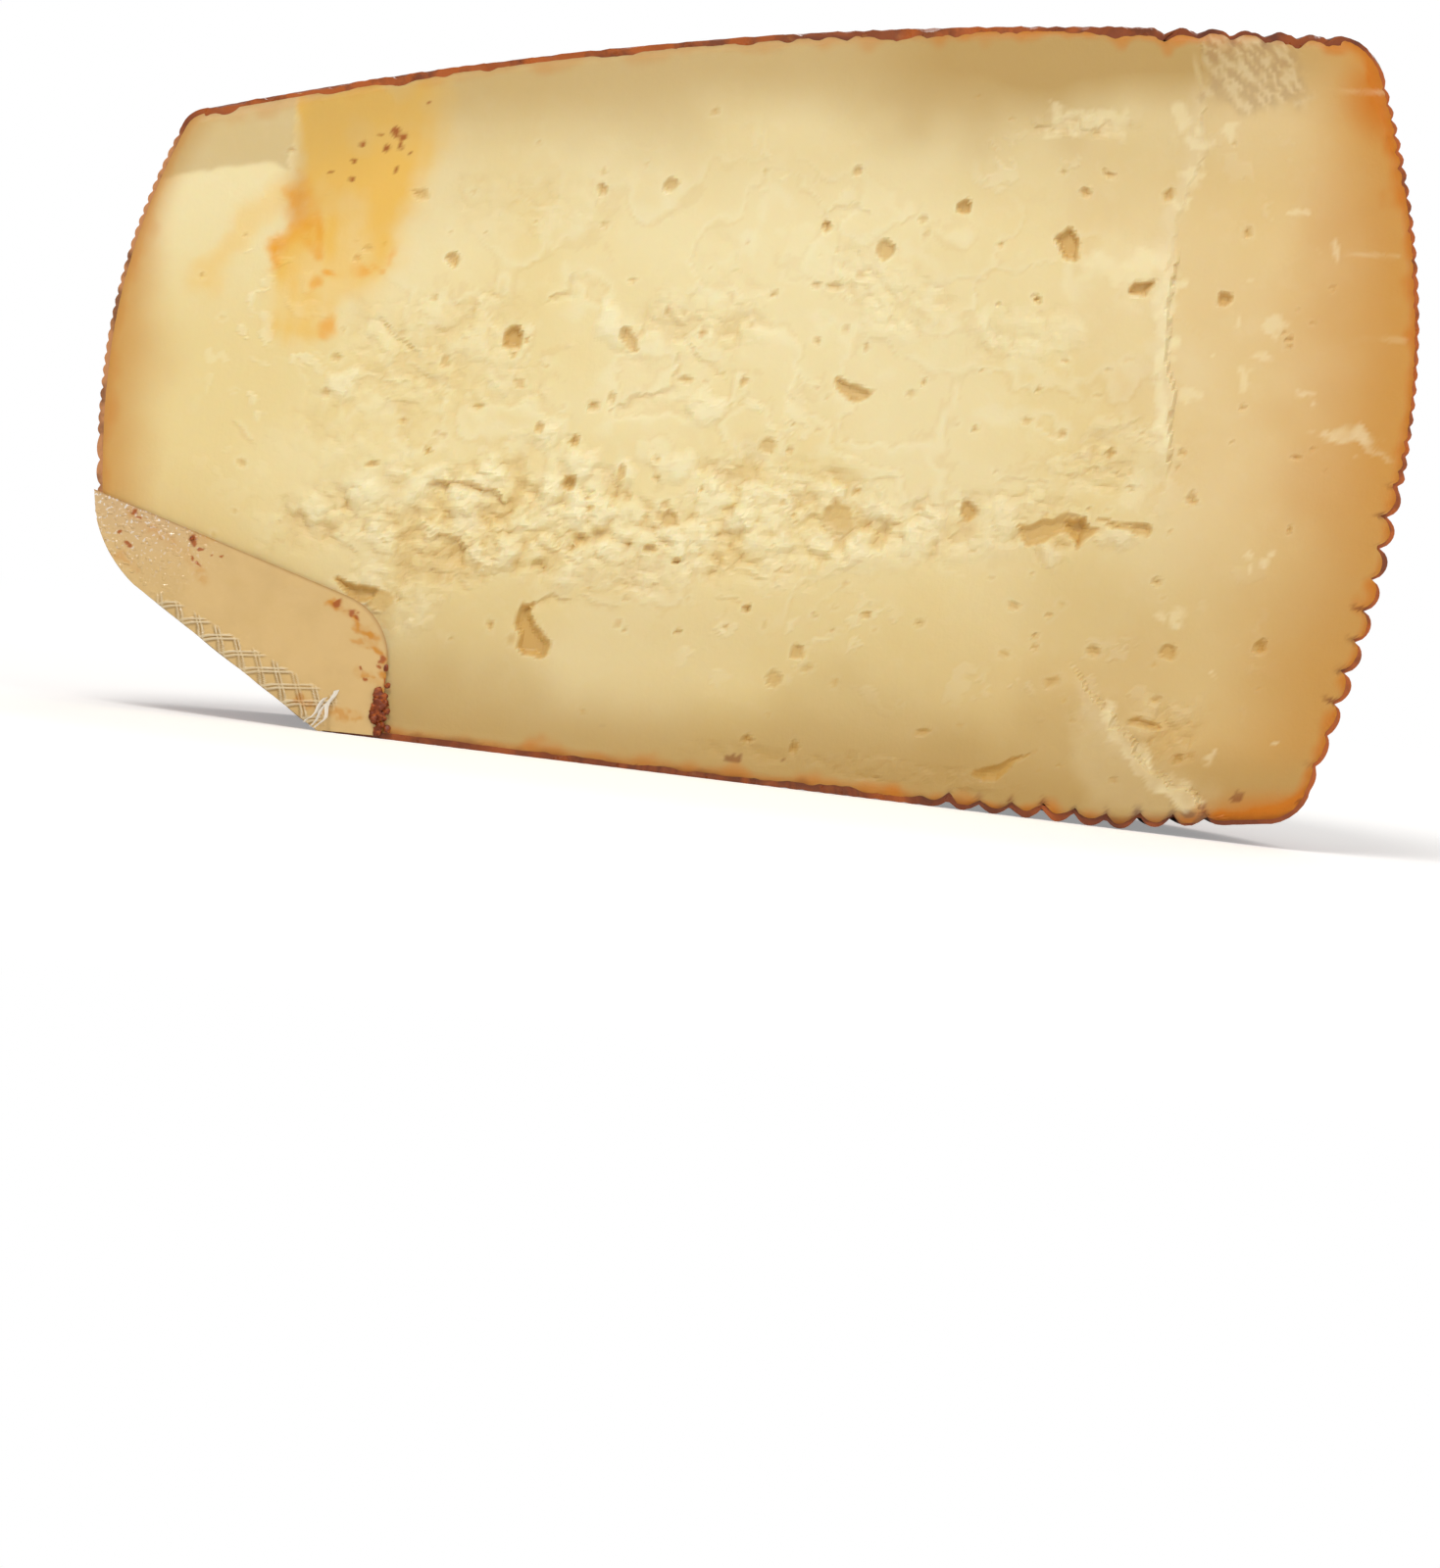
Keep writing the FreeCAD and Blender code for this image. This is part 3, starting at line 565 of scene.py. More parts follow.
# cavities: corners in mm, depth
cavities = [
    ([(-24.0, 17.6), (-24.5, 15.2), (-24.0, 13.6), (-24.3, 12.4), (-23.0, 11.2), (-20.7, 11.0), (-19.9, 11.6),
      (-19.8, 13.3), (-20.6, 14.0), (-21.7, 15.1), (-22.5, 16.2), (-22.0, 17.6)], 2.8),
    ([(-45.6, 17.2), (-44.9, 17.9), (-44.0, 17.3), (-42.1, 17.5), (-40.1, 17.2), (-40.4, 15.7), (-42.3, 15.3),
      (-44.0, 15.8)], 2.4),
    ([(-40.2, 17.1), (-37.8, 16.2), (-39.2, 14.2), (-41.9, 15.0)], 0.9),
    ([(8.6, 30.8), (8.9, 32.5), (10.3, 33.4), (12.0, 32.5), (12.6, 30.3), (10.8, 29.6)], 1.1),
    ([(30.8, 33.5), (32.4, 33.5), (34.7, 34.2), (36.6, 35.1), (38.5, 34.9), (39.3, 33.8), (40.7, 34.0),
      (39.5, 32.6), (38.1, 30.8), (37.5, 32.0), (36.5, 32.6), (35.0, 31.7), (34.0, 31.3), (32.4, 30.3),
      (31.5, 32.0)], 1.7),
    ([(35.4, 34.4), (38.5, 34.9), (39.2, 33.6), (38.2, 31.2), (37.4, 32.4)], 3.2),
    ([(39.2, 34.9), (41.3, 35.0), (43.4, 35.0), (45.5, 35.2), (46.4, 34.5), (46.0, 33.1), (44.8, 33.6),
      (43.9, 34.3), (41.4, 34.2)], 1.5),
    ([(8.1, 47.4), (9.2, 47.5), (11.0, 46.7), (13.2, 46.4), (12.3, 45.1), (10.9, 44.4), (9.6, 45.2),
      (8.8, 46.1)], 1.9),
    ([(-16.5, 50.0), (-15.4, 50.3), (-14.4, 49.1), (-13.8, 47.5), (-14.6, 46.9), (-15.7, 47.5),
      (-16.4, 48.8)], 1.3),
    ([(28.8, 4.2), (30.8, 5.2), (33.4, 6.3), (37.0, 8.0), (34.6, 6.0), (32.6, 4.0), (30.9, 3.5)], 1.5),
    ([(45.4, 12.0), (47.4, 13.0), (50.8, 12.2), (50.2, 11.4), (47.8, 11.6)], 1.4),
]

# edges where one side of the cut stands higher: points along, height in mm, fade in mm, raggedness
steps = [
    {"along": [(47.3, 43.4), (46.8, 50.4), (46.0, 54.5), (45.3, 58.6), (45.4, 63.1)],
     "height": 1.15, "fade": 9, "ragged": 0.5},
    {"along": [(44.5, 64.7), (45.2, 71.0), (46.6, 77.0), (46.6, 81.8)],
     "height": 0.3, "fade": 1.6, "ragged": 0.6},
    {"along": [(57.6, 3.2), (52.2, 5.9), (46.7, 9.7), (43.6, 13.4), (41.4, 15.8)],
     "height": 1.0, "fade": 7, "ragged": 0.9},
    {"along": [(46.3, 84.6), (45.3, 89.5)], "height": 0.25, "fade": 3, "ragged": 0.3},
]


def turnedShares(across, up, width, height, turn):
    # shares of width and height that a place lies off the middle, once turned back by turn degrees
    turned = math.radians(turn)
    along = across * math.cos(turned) + up * math.sin(turned)
    over = up * math.cos(turned) - across * math.sin(turned)
    return along / width, over / height


def distanceAlong(x, z, points):
    # distance to a polyline, negative on its left going along it
    best = np.full(x.shape, 1e9)
    side = np.ones(x.shape)
    for (startX, startZ), (endX, endZ) in zip(points, points[1:]):
        runX, runZ = endX - startX, endZ - startZ
        length = math.hypot(runX, runZ)
        share = np.clip(((x - startX) * runX + (z - startZ) * runZ) / length ** 2, 0, 1)
        awayX, awayZ = x - startX - share * runX, z - startZ - share * runZ
        away = np.hypot(awayX, awayZ)
        turnSign = np.sign(runX * awayZ - runZ * awayX)
        closer = away < best
        best, side = np.where(closer, away, best), np.where(closer, turnSign, side)
    return best, -side


def smallEyes():
    draw = random.Random(5)
    found = []
    while len(found) < 130:
        x, z = draw.uniform(-66, 66), draw.uniform(4, 88)
        if z < topHeight(x) - 5:
            width = draw.choice((0.6, 0.7, 0.8, 1.0, 1.2))
            height, turn = width * draw.uniform(0.7, 1.3), draw.uniform(-40, 40)
            found.append((x, z, width, height, turn, 0.1 + width * 0.4))
    return found


def faceRelief(x, z, edge):
    # depth into the cheese in mm, how much painted shade each place takes where it lies hollow, and how
    # chalky it is
    depth = paste["wave"] * onCut(x, z, 34, 2, 1) + paste["ripple"] * onCut(x, z, 5, 3, 2)
    hollowShade, chalk = np.zeros_like(x), np.zeros_like(x)

    warpX, warpZ = shifted(x, z, 1.3, 4.0, 4, (11, 13))
    zone = np.zeros_like(x)
    for middleX, middleZ, width, height, turn, rough in brokenZones:
        share = 1 - np.hypot(*turnedShares(x - middleX, z - middleZ, width, height, turn))
        share = share + 0.42 * onCut(x, z, 8, 3, 15)
        zone = np.maximum(zone, rough * smooth(0, 0.55, share))
    # rounded lumps of curd piled on each other
    rollX, rollZ = shifted(x, z, 0.8, 2.2, 3, (21, 22))
    large = mounds(rollX, rollZ, 5.2, 24)
    middling = mounds(rollX + 3, rollZ, 2.6, 25)
    small = mounds(x + 0.3 * rollX, z + 0.3 * rollZ, 1.5, 26)
    pile = 0.62 * large + 0.5 * middling + 0.26 * small
    dust = onCut(x, z, 0.9, 2, 23)
    depth = depth + zone * (paste["moundRise"] * (0.72 - pile) + 0.04 * dust)
    # painted shade in the low places between the lumps
    hollowShade = np.maximum(hollowShade, zone * 0.62 * smooth(0.72, 0.25, pile))
    chalk = np.maximum(chalk, zone * smooth(0.55, 1.0, pile + 0.08 * dust))

    for middleX, middleZ, reach in curdLumps:
        dome = smooth(1.15, 0.35, np.hypot(warpX - middleX, warpZ - middleZ) / reach)
        depth = depth - paste["curdRise"] * dome
        chalk = np.maximum(chalk, 0.9 * dome)
        hollowShade = hollowShade * (1 - 0.8 * dome)

    # a thin flake here and there stands up from the smooth cut
    flakes = smooth(0.5, 0.72, onCut(warpX, warpZ, 2.4, 3, 41))
    flakes = flakes * smooth(0.0, 0.5, lumps(x, 0, z, 14, 42)) * (1 - zone) * smooth(6, 16, edge)
    depth = depth - paste["flakeRise"] * flakes
    chalk = np.maximum(chalk, 0.55 * flakes)

    # the whole middle tore a little: wide low plates with ragged edges
    fromMiddle = np.hypot((x + 1) / 50, (z - 44 - 0.1 * x) / 27)
    torn = smooth(1.12, 0.75, fromMiddle + 0.12 * onCut(x, z, 11, 2, 43))
    wide = 4.0 * (0.5 + 0.5 * onCut(warpX, warpZ, 15, 4, 44))
    tread = np.floor(wide) + smooth(0.72, 1.0, wide % 1)
    depth = depth + torn * paste["plateRise"] * (tread - 2)
    chalk = np.maximum(chalk, 0.55 * torn * smooth(0.55, 0.78, wide % 1) * smooth(0.9, 0.8, wide % 1))
    # painted shade along the foot of each plate's edge
    hollowShade = np.maximum(hollowShade, 0.16 * torn * smooth(0.84, 0.96, wide % 1))

    wobble = 0.13 * onCut(x, z, 1.1, 2, 51)
    jitter = random.Random(17)
    for middleX, middleZ, width, height, turn, deep in eyes + smallEyes():
        reach = max(width, height) + 1
        near = (np.abs(x - middleX) < reach) & (np.abs(z - middleZ) < reach)
        distance = corneredBlob(x[near] - middleX, z[near] - middleZ, width / 2, height / 2, turn, jitter)
        inside = 1 - distance - wobble[near]
        sinkHole(near, inside * min(width, height) / 2, deep, depth, hollowShade, chalk)
    raggedX, raggedZ = shifted(x, z, 0.55, 1.7, 3, (55, 56))
    frayedX, frayedZ = shifted(x, z, 0.3, 1.7, 3, (55, 56))
    for corners, deep in cavities:
        inside = (insideOf(frayedX, frayedZ, corners, 0.9) - 0.5) * 1.8
        sinkHole(np.full(x.shape, True), inside, deep, depth, hollowShade, chalk, 0.8)
    for along, reach, deep in ledges:
        away, side = distanceAlong(raggedX, raggedZ, along)
        ends = smooth(1.4, -0.4, endDistance(x, z, along))
        below = away * side
        dip = smooth(-0.25, 0.4, below) * np.exp(-np.maximum(below, 0) / reach * 1.2) * ends
        depth = depth + 0.4 * deep * dip * (away < reach * 3)
        # painted shade under the ledge
        shade = 0.3 * deep * smooth(-0.3, 0.3, below) * smooth(0.9 * reach, 0.1, below) * ends
        hollowShade = np.maximum(hollowShade, shade)
        chalk = np.maximum(chalk, 0.5 * smooth(-0.9, -0.15, below) * smooth(0.0, -0.1, below) * ends)

    for step in steps:
        away, side = distanceAlong(x, z, step["along"])
        ends = smooth(4.5, -1.0, endDistance(x, z, step["along"]))
        signed = away * side + step["ragged"] * onCut(x, z, 2.6, 3, 61)
        raised = smooth(0.12, -0.3, signed) * np.exp(-np.maximum(-signed, 0) / step["fade"]) * ends
        depth = depth - step["height"] * raised
        chalk = np.maximum(chalk, smooth(1.5, 0.2, np.abs(signed + 0.8)) * 0.9 * ends)
    return depth, hollowShade, chalk


def corneredBlob(across, up, width, height, turn, jitter):
    # distance from the middle of an eye with four to six uneven sides, 1 at its rim
    along, over = turnedShares(across, up, width, height, turn)
    sides, start = jitter.choice((4, 5, 6)), jitter.uniform(0, 6.28)
    total = 0
    for side in range(sides):
        facing = start + (side + jitter.uniform(-0.22, 0.22)) * 2 * math.pi / sides
        reach = jitter.uniform(0.78, 1.05)
        total = total + np.maximum(0, (along * math.cos(facing) + over * math.sin(facing)) / reach) ** 7
    return total ** (1 / 7)


def sinkHole(near, inside, deep, depth, hollowShade, chalk, wide=0.34):
    # inside is the distance in mm from the rim inwards; wide is how far the wall slopes
    wall = smooth(-0.08, wide + 0.12 * deep, inside)
    depth[near] = np.maximum(depth[near], depth[near] * (1 - 0.7 * wall) + 0.42 * deep * wall)
    # painted shade inside the hole, darker the deeper it is
    hollowShade[near] = np.maximum(hollowShade[near], smooth(-0.05, 0.35, inside) * min(1.0, 0.3 + deep * 0.32))
    lip = smooth(-0.45, -0.15, inside) * smooth(0.05, -0.1, inside) * 0.3
    chalk[near] = np.maximum(chalk[near] * (1 - smooth(0.0, 0.2, inside)), lip)


def endDistance(x, z, points):
    # how far a point lies beyond either end of a polyline
    beyond = np.zeros(x.shape)
    for first, second in ((points[0], points[1]), (points[-1], points[-2])):
        runX, runZ = first[0] - second[0], first[1] - second[1]
        length = math.hypot(runX, runZ)
        beyond = np.maximum(beyond, ((x - first[0]) * runX + (z - first[1]) * runZ) / length)
    return beyond


def coonsGrid(line, places, columns, rows):
    # cell corners of a grid laid inside a closed line; places are where its four corners fall
    def stretch(start, end):
        run = np.arange(start, end + 1) if end > start else np.arange(start, end + len(line) + 1)
        return np.concatenate([line[run % len(line)], run[:, None].astype(float)], axis=1)
    bottomLeft, bottomRight, topRight, topLeft = places
    bottom = resample(stretch(bottomLeft, bottomRight), columns)
    right = resample(stretch(bottomRight, topRight), rows)
    top = resample(stretch(topRight, topLeft)[::-1], columns)
    left = resample(stretch(topLeft, bottomLeft)[::-1], rows)
    u = np.linspace(0, 1, columns)[None, :, None]
    v = np.linspace(0, 1, rows)[:, None, None]
    flat = (1 - v) * bottom[None] + v * top[None] + (1 - u) * left[:, None] + u * right[:, None]
    corners = ((1 - u) * (1 - v) * bottom[0] + u * (1 - v) * bottom[-1]
               + (1 - u) * v * top[0] + u * v * top[-1])
    grid = (flat - corners)[:, :, :2]
    # the grooves of the rind dent the paste's edge, less and less for some cells inwards
    dents = 1.05 * outlineDepth[:, None] * outlineInward
    along = {"bottom": bottom, "right": right, "top": top, "left": left}
    reach = paste["dentReach"]
    acrossCells, upCells = np.arange(columns), np.arange(rows)
    for side, cells in (("bottom", upCells), ("top", upCells[::-1]), ("left", acrossCells),
                        ("right", acrossCells[::-1])):
        nearest = np.rint(along[side][:, 2]).astype(int) % len(dents)
        fade = np.clip(1 - cells / reach, 0, 1) ** 1.5
        if side in ("bottom", "top"):
            grid += fade[:, None, None] * dents[nearest][None]
        else:
            grid += fade[None, :, None] * dents[nearest][:, None]
    return grid


stain = {
    # orange stain where the rub ran down over the cut, in mm
    "field": [(-56.4, 71.9), (-39.8, 76.5), (-39.1, 68.4), (-41.4, 63.3), (-41.8, 59.7), (-42.8, 57.0),
              (-43.4, 54.4), (-45.0, 51.5), (-47.6, 48.7), (-48.6, 46.0), (-51.3, 44.0), (-55.0, 44.5),
              (-56.7, 47.5), (-56.9, 51.2), (-55.9, 54.0), (-54.9, 58.1), (-55.3, 63.2)],
    "deep": [(-55.5, 62.4), (-54.3, 61.9), (-53.1, 59.6), (-52.1, 56.5), (-51.6, 54.2), (-54.2, 54.6),
             (-56.9, 51.6), (-56.0, 55.6), (-56.2, 57.9), (-57.1, 60.1), (-55.9, 60.9)],
    "crisp": [(-56.2, 62.6), (-56.2, 80.0), (-47.0, 80.0), (-47.0, 62.6)],     # where its edge is sharp
    "branch": [(-56.7, 60.1), (-59.3, 57.5), (-62.0, 53.3), (-63.8, 49.3)],
    "streak": [(-53.9, 61.6), (-52.6, 59.0), (-51.9, 56.4), (-51.6, 53.8)],
    "spots": [(-56.7, 60.1, 0.8), (-49.5, 45.7, 1.2), (-47.3, 52.7, 1.1), (-43.9, 54.9, 0.8),
              (-44.9, 53.4, 0.7), (-50.2, 51.3, 0.8), (-51.3, 49.9, 0.9), (-45.9, 53.9, 0.6),
              (-56.3, 52.2, 0.9)],
    "specks": [(-44.5, 68.9, 0.75), (-43.7, 68.5, 0.6), (-49.0, 65.0, 0.4), (-48.9, 62.9, 0.35),
               (-42.6, 66.6, 0.35), (-48.2, 66.8, 0.55), (-45.4, 66.9, 0.45), (-43.9, 67.2, 0.4),
               (-44.1, 64.6, 0.45), (-46.3, 68.2, 0.4), (-41.2, 72.6, 0.3), (-51.4, 63.4, 0.3)],
}
marks = {
    # light lines where film lay on the cut, and small pale flakes, in mm
    "lines": [[(64.0, 68.2), (70.4, 68.7)], [(65.6, 57.4), (67.4, 59.0), (72.4, 59.3)],
              [(67.8, 48.9), (72.2, 45.5)], [(44.4, 90.3), (44.7, 87.8), (45.8, 85.2)],
              [(56.7, 84.5), (60.3, 86.4), (66.5, 87.0)]],
    "flakes": [(49.6, 80.2, 0.9), (44.7, 80.9, 1.6), (57.5, 59.4, 1.2), (54.7, 52.4, 1.2), (53.8, 59.3, 0.7),
               (53.6, 63.4, 0.5), (58.5, 72.6, 0.5), (62.6, 68.0, 0.9), (57.0, 56.1, 0.8), (50.7, 55.1, 0.6),
               (61.8, 52.0, 0.7), (49.0, 50.3, 0.9), (58.0, 32.1, 0.6), (60.2, 32.4, 0.7), (48.6, 24.7, 0.7),
               (51.1, 25.0, 1.0), (54.8, 19.2, 0.5), (56.3, 9.6, 0.6), (63.1, 12.3, 0.4), (45.6, 71.5, 0.9),
               (46.4, 78.4, 1.1), (46.0, 75.0, 1.2), (30.6, 79.6, 1.4), (36.6, 79.8, 1.3), (33.4, 78.4, 0.9),
               (24.4, 56.0, 1.5), (26.0, 53.6, 1.6), (43.6, 38.2, 1.8), (45.6, 40.0, 1.4), (5.4, 60.2, 2.2),
               (9.4, 60.6, 1.8), (41.4, 63.9, 2.2), (37.6, 63.6, 1.6), (44.8, 61.4, 1.4), (-61.8, 40.2, 0.7)],
    # ragged pale patches where a skin of paste tore off: corners, strength
    "torn": [
        ([(44.4, 62.9), (46.2, 62.8), (46.0, 61.5), (44.9, 59.4), (46.1, 56.6), (46.0, 54.7), (45.5, 53.1),
          (46.4, 49.5), (47.0, 46.6), (46.9, 43.5), (45.6, 44.0), (45.4, 47.5), (44.3, 50.8), (44.6, 55.3),
          (43.6, 58.2)], 0.95),
        ([(45.6, 44.0), (44.3, 45.3), (42.8, 44.7), (41.0, 43.4), (40.6, 41.3), (42.6, 40.0), (45.7, 39.3),
          (47.8, 40.6), (47.6, 42.9)], 0.6),
        ([(34.7, 62.9), (37.4, 64.2), (39.7, 63.5), (40.6, 62.1), (38.5, 61.3), (36.1, 61.9)], 0.7),
        ([(23.5, 56.2), (25.8, 55.6), (27.1, 53.1), (29.2, 52.3), (32.1, 51.9), (34.9, 53.3), (36.2, 56.1),
          (34.5, 57.0), (33.5, 55.8), (31.8, 54.5), (29.5, 54.6), (27.7, 54.0), (26.1, 55.3),
          (24.4, 56.9)], 0.5),
        ([(0.6, 63.5), (3.3, 63.6), (4.3, 60.8), (6.8, 58.9), (6.6, 57.7), (3.6, 57.8), (1.3, 57.8)], 0.75),
        ([(9.6, 57.7), (11.4, 58.3), (13.1, 59.8), (13.6, 58.6), (11.2, 56.6)], 0.6),
        ([(28.8, 80.4), (38.3, 81.2), (36.7, 79.1), (32.3, 78.0), (29.1, 76.5), (30.6, 79.1)], 0.7),
        ([(62.8, 47.6), (67.8, 49.4), (70.1, 48.6), (72.7, 45.9), (70.7, 46.2), (67.2, 47.0)], 0.7),
        ([(42.2, 14.6), (44.4, 13.4), (46.4, 10.6), (49.0, 9.2), (51.6, 7.0), (54.8, 6.2), (57.4, 4.6),
          (55.8, 3.0), (52.6, 3.4), (49.4, 5.2), (46.0, 8.2), (44.0, 10.6)], 0.9),
    ],
    "folds": [(45.2, 91.0), (55.6, 91.6), (58.3, 85.2), (51.7, 83.2), (46.0, 83.6)],
    "veil": [(-72.0, 59.8), (-66.3, 61.8), (-61.3, 63.0), (-58.1, 63.5), (-55.9, 63.0), (-56.3, 80.0),
             (-74.0, 80.0)],
    "ridge": [(44.6, 14.2), (47.2, 11.6), (50.2, 8.6), (53.6, 7.0), (57.0, 5.4), (56.6, 2.0), (43.0, 1.6),
              (40.6, 8.0), (41.4, 15.0)],
}


def insideOf(x, z, corners, blur):
    # 1 inside a closed outline, 0 outside, soft over blur mm
    away, _ = distanceAlong(x, z, corners + corners[:1])
    inside = np.zeros(x.shape, dtype=bool)
    for (startX, startZ), (endX, endZ) in zip(corners, corners[1:] + corners[:1]):
        crosses = (startZ > z) != (endZ > z)
        if startZ != endZ:
            inside ^= crosses & (x < (endX - startX) * (z - startZ) / (endZ - startZ) + startX)
    return smooth(-blur, blur, np.where(inside, away, -away))


def facePaint(x, z, edge, groove):
    # how far the paste goes towards each of its tints, from 0 to 1
    below, above = topHeight(x) - z, z - baseHeight(x)
    fromRight, fromLeft = sideRadius(0.0, z) - x, x + sideRadius(1.0, z)
    drift = 1 + 0.25 * onCut(x, z, 14, 3, 81)
    tints = {}
    low = smooth(48, 8, z)
    tints["amber"] = np.clip(np.maximum.reduce([
        0.34 * smooth(44, 16, fromRight * drift) + 0.66 * smooth(20 + 6 * low, 1.0, fromRight * drift) ** 1.2,
        0.85 * smooth(11, 0.3, fromLeft * drift * (1 + 1.5 * smooth(36, 62, z))) ** 1.2,
        0.42 * smooth(24, 3, fromLeft * drift) * smooth(34, 12, z),
        0.22 * low * smooth(60, 24, fromRight)]), 0, 1)
    leftward = smooth(34, 14, fromLeft * drift) * smooth(60, 42, z)
    tints["warm"] = np.clip(leftward + 0.55 * smooth(42, 14, z) * smooth(-30, 10, x), 0, 1)
    topDull = (0.25 * smooth(24, 12, below) + 0.75 * smooth(14, 2.5, below * drift)) * smooth(-58, -54, x)
    topDull = topDull * (0.9 + 0.45 * smooth(0, 32, x) * smooth(52, 44, x)) * (1 - 0.75 * smooth(55, 64, x))
    baseDull = 0.3 * smooth(30, 14, above) + 0.8 * smooth(15, 1.5, above * drift)
    baseDull = np.maximum(baseDull, 0.36 * smooth(42, 22, above) * smooth(18, 44, x))
    veil = insideOf(x + 0.3 * onCut(x, z, 2, 2, 82), z + 0.25 * onCut(x, z, 2, 2, 83),
                    marks["veil"], 0.35) * 0.62
    shaded = 0.1 * smooth(-5, 25, x) * smooth(12, 30, fromRight)
    tints["dull"] = np.clip(np.maximum.reduce([topDull, baseDull, veil]) + shaded, 0, 1.2)
    rightRim = np.maximum(smooth(-10, 30, x), 0.6 * smooth(4, 2, above))
    tints["rim"] = smooth(2.1, 0.3, edge * (1 + 0.35 * onCut(x, z, 2.6, 2, 84))) * (0.38 + 0.62 * rightRim)
    corner = smooth(9.5, 2.5, np.hypot(x - 69.5, (z - 86.5) * 1.3)) * 1.1
    heel = 1.1 * smooth(5.0, 0.4, above) * smooth(52, 64, x)
    tints["rim"] = np.clip(tints["rim"] + corner + heel, 0, 1)
    # brown at the paste's edge: the rind's own brown, with painted shade in the nicks of its grooves and
    # along the base, where the cheese sits
    notched = smooth(0.4, 1.1, groove) * smooth(0.0, 0.6, 1 + onCut(x, z, 3, 2, 96))
    baseBrownAndShade = smooth(1.1 + 0.8 * onCut(x, z, 2.6, 3, 98), 0.3, edge - groove) * smooth(5, 3, above)
    tints["rindBrownAndShade"] = np.maximum(notched * smooth(1.9, 0.5, edge - groove), 0.75 * baseBrownAndShade)

    warpX, warpZ = shifted(x, z, 0.9, 3.2, 3, (85, 86))
    soft = 1.3 + 1.9 * smooth(-50, -42, x)
    field = insideOf(warpX, warpZ, stain["field"], soft)
    crisp = insideOf(x, z, stain["crisp"], 0.25)
    field = np.maximum(field * smooth(-56.6, -55.9, np.where(z > 62.6, x, 0)), crisp * field)
    runs = lumps(x / 0.9, 0, z / 8, 1.0, 95)
    fade = 0.6 + 0.4 * smooth(46, 62, z) + 0.2 * onCut(x, z, 4, 3, 87) + 0.09 * runs
    branch, _ = distanceAlong(warpX, warpZ, stain["branch"])
    tints["stain"] = np.clip(np.maximum(field * fade, 0.42 * smooth(3.0, 0.2, branch)), 0, 1)
    deep = insideOf(warpX, warpZ, stain["deep"], 0.9)
    streak, _ = distanceAlong(x, z, stain["streak"])
    deep = np.maximum(deep, 0.9 * smooth(0.9, 0.1, streak))
    for middleX, middleZ, reach in stain["spots"]:
        deep = np.maximum(deep, 0.75 * smooth(1.25, 0.3, np.hypot(warpX - middleX, warpZ - middleZ) / reach))
    tints["dull"] = tints["dull"] * (1 - 0.35 * tints["stain"])
    tints["deepStain"] = np.clip(deep * (0.75 + 0.4 * onCut(x, z, 2.2, 3, 88)), 0, 1)
    speck = np.zeros_like(x)
    for middleX, middleZ, reach in stain["specks"]:
        away = np.hypot(x - middleX, z - middleZ) / reach + 0.4 * onCut(x, z, 0.8, 2, 89)
        speck = np.maximum(speck, smooth(0.85, 0.4, away))
    tints["speck"] = speck

    chalk = np.zeros_like(x)
    flakeX, flakeZ = shifted(x, z, 1.1, 1.8, 3, (91, 92))
    for line in marks["lines"]:
        away, _ = distanceAlong(x, z, line)
        chalk = np.maximum(chalk, 0.24 * smooth(0.45, 0.1, away) * (0.6 + 0.8 * onCut(x, z, 3, 2, 93)))
    for middleX, middleZ, reach in marks["flakes"]:
        away = np.hypot(flakeX - middleX, flakeZ - middleZ) / reach
        chalk = np.maximum(chalk, 0.6 * smooth(1.2, 0.6, away))
    for corners, strength in marks["torn"]:
        patch = insideOf(flakeX, flakeZ, corners, 0.3)
        chalk = np.maximum(chalk, strength * patch * (0.8 + 0.3 * onCut(x, z, 1.6, 2, 94)))
    wrinkled = insideOf(warpX, warpZ, marks["folds"], 0.8)
    slant = onCut((x + z) * 1.3, (z - x) * 0.45, 0.9, 2, 90)
    chalk = np.maximum(chalk, wrinkled * smooth(-0.25, 0.6, slant) * 0.5)
    ridge = insideOf(warpX, warpZ, marks["ridge"], 1.6)
    chalk = np.maximum(chalk, 0.28 * ridge)
    tints["flake"] = chalk
    # painted shade over the creased film marks, darkest in the creases between the pale streaks
    tints["folds"] = wrinkled * (0.3 + 0.5 * smooth(0.2, -0.5, slant))
    return tints


def nearestOutline(x, z):
    # distance in mm from each point to the outside of the rind, and how deep the groove is there
    best, groove = np.full(x.shape, 1e9), np.zeros(x.shape)
    for place, depth in zip(outlinePlace[::4], outlineDepth[::4]):
        away = (x - place[0]) ** 2 + (z - place[1]) ** 2
        groove = np.where(away < best, depth, groove)
        best = np.minimum(best, away)
    return np.sqrt(best), groove


def cornerPlaces():
    # where the face's outline turns: end of the facet, right foot, right head, left head
    def middleOf(part, onRight):
        chosen = [i for i, name in enumerate(outlineParts) if name == part and (outlineX[i] > 0) == onRight]
        return chosen[len(chosen) // 2]
    facetTop = int(np.argmin(np.hypot(outlineX - facetHigh[0], outlineZ - facetHigh[1])))
    return facetTop, middleOf("foot", True), middleOf("head", True), middleOf("head", False)


def makePaste():
    piece, column, row = startGrid("cheesePaste", paste["columns"], paste["rows"])
    grid = coonsGrid(pasteOutline, cornerPlaces(), paste["columns"], paste["rows"])
    x, z = grid[row, column, 0], grid[row, column, 1]
    edge, groove = nearestOutline(x, z)
    depth, hollowShade, chalk = faceRelief(x, z, edge)
    calm = smooth(0.2, 2.2, edge)
    depth = depth * calm + 0.25 * smooth(1.6, 0.3, edge)
    placeVertices(piece, x, depth, z)
    tints = facePaint(x, z, edge, groove)
    tints["chalk"] = chalk * calm
    tints["hollowShade"] = hollowShade * calm
    for name, values in tints.items():
        paint(piece, name, values)
    closeEdge(piece, [(paste["slabDepth"], paste["slabShrink"])])
    return piece


cheesePaste = makePaste()
report("paste")


# rind: the mould band, the board's reeds and the short corner

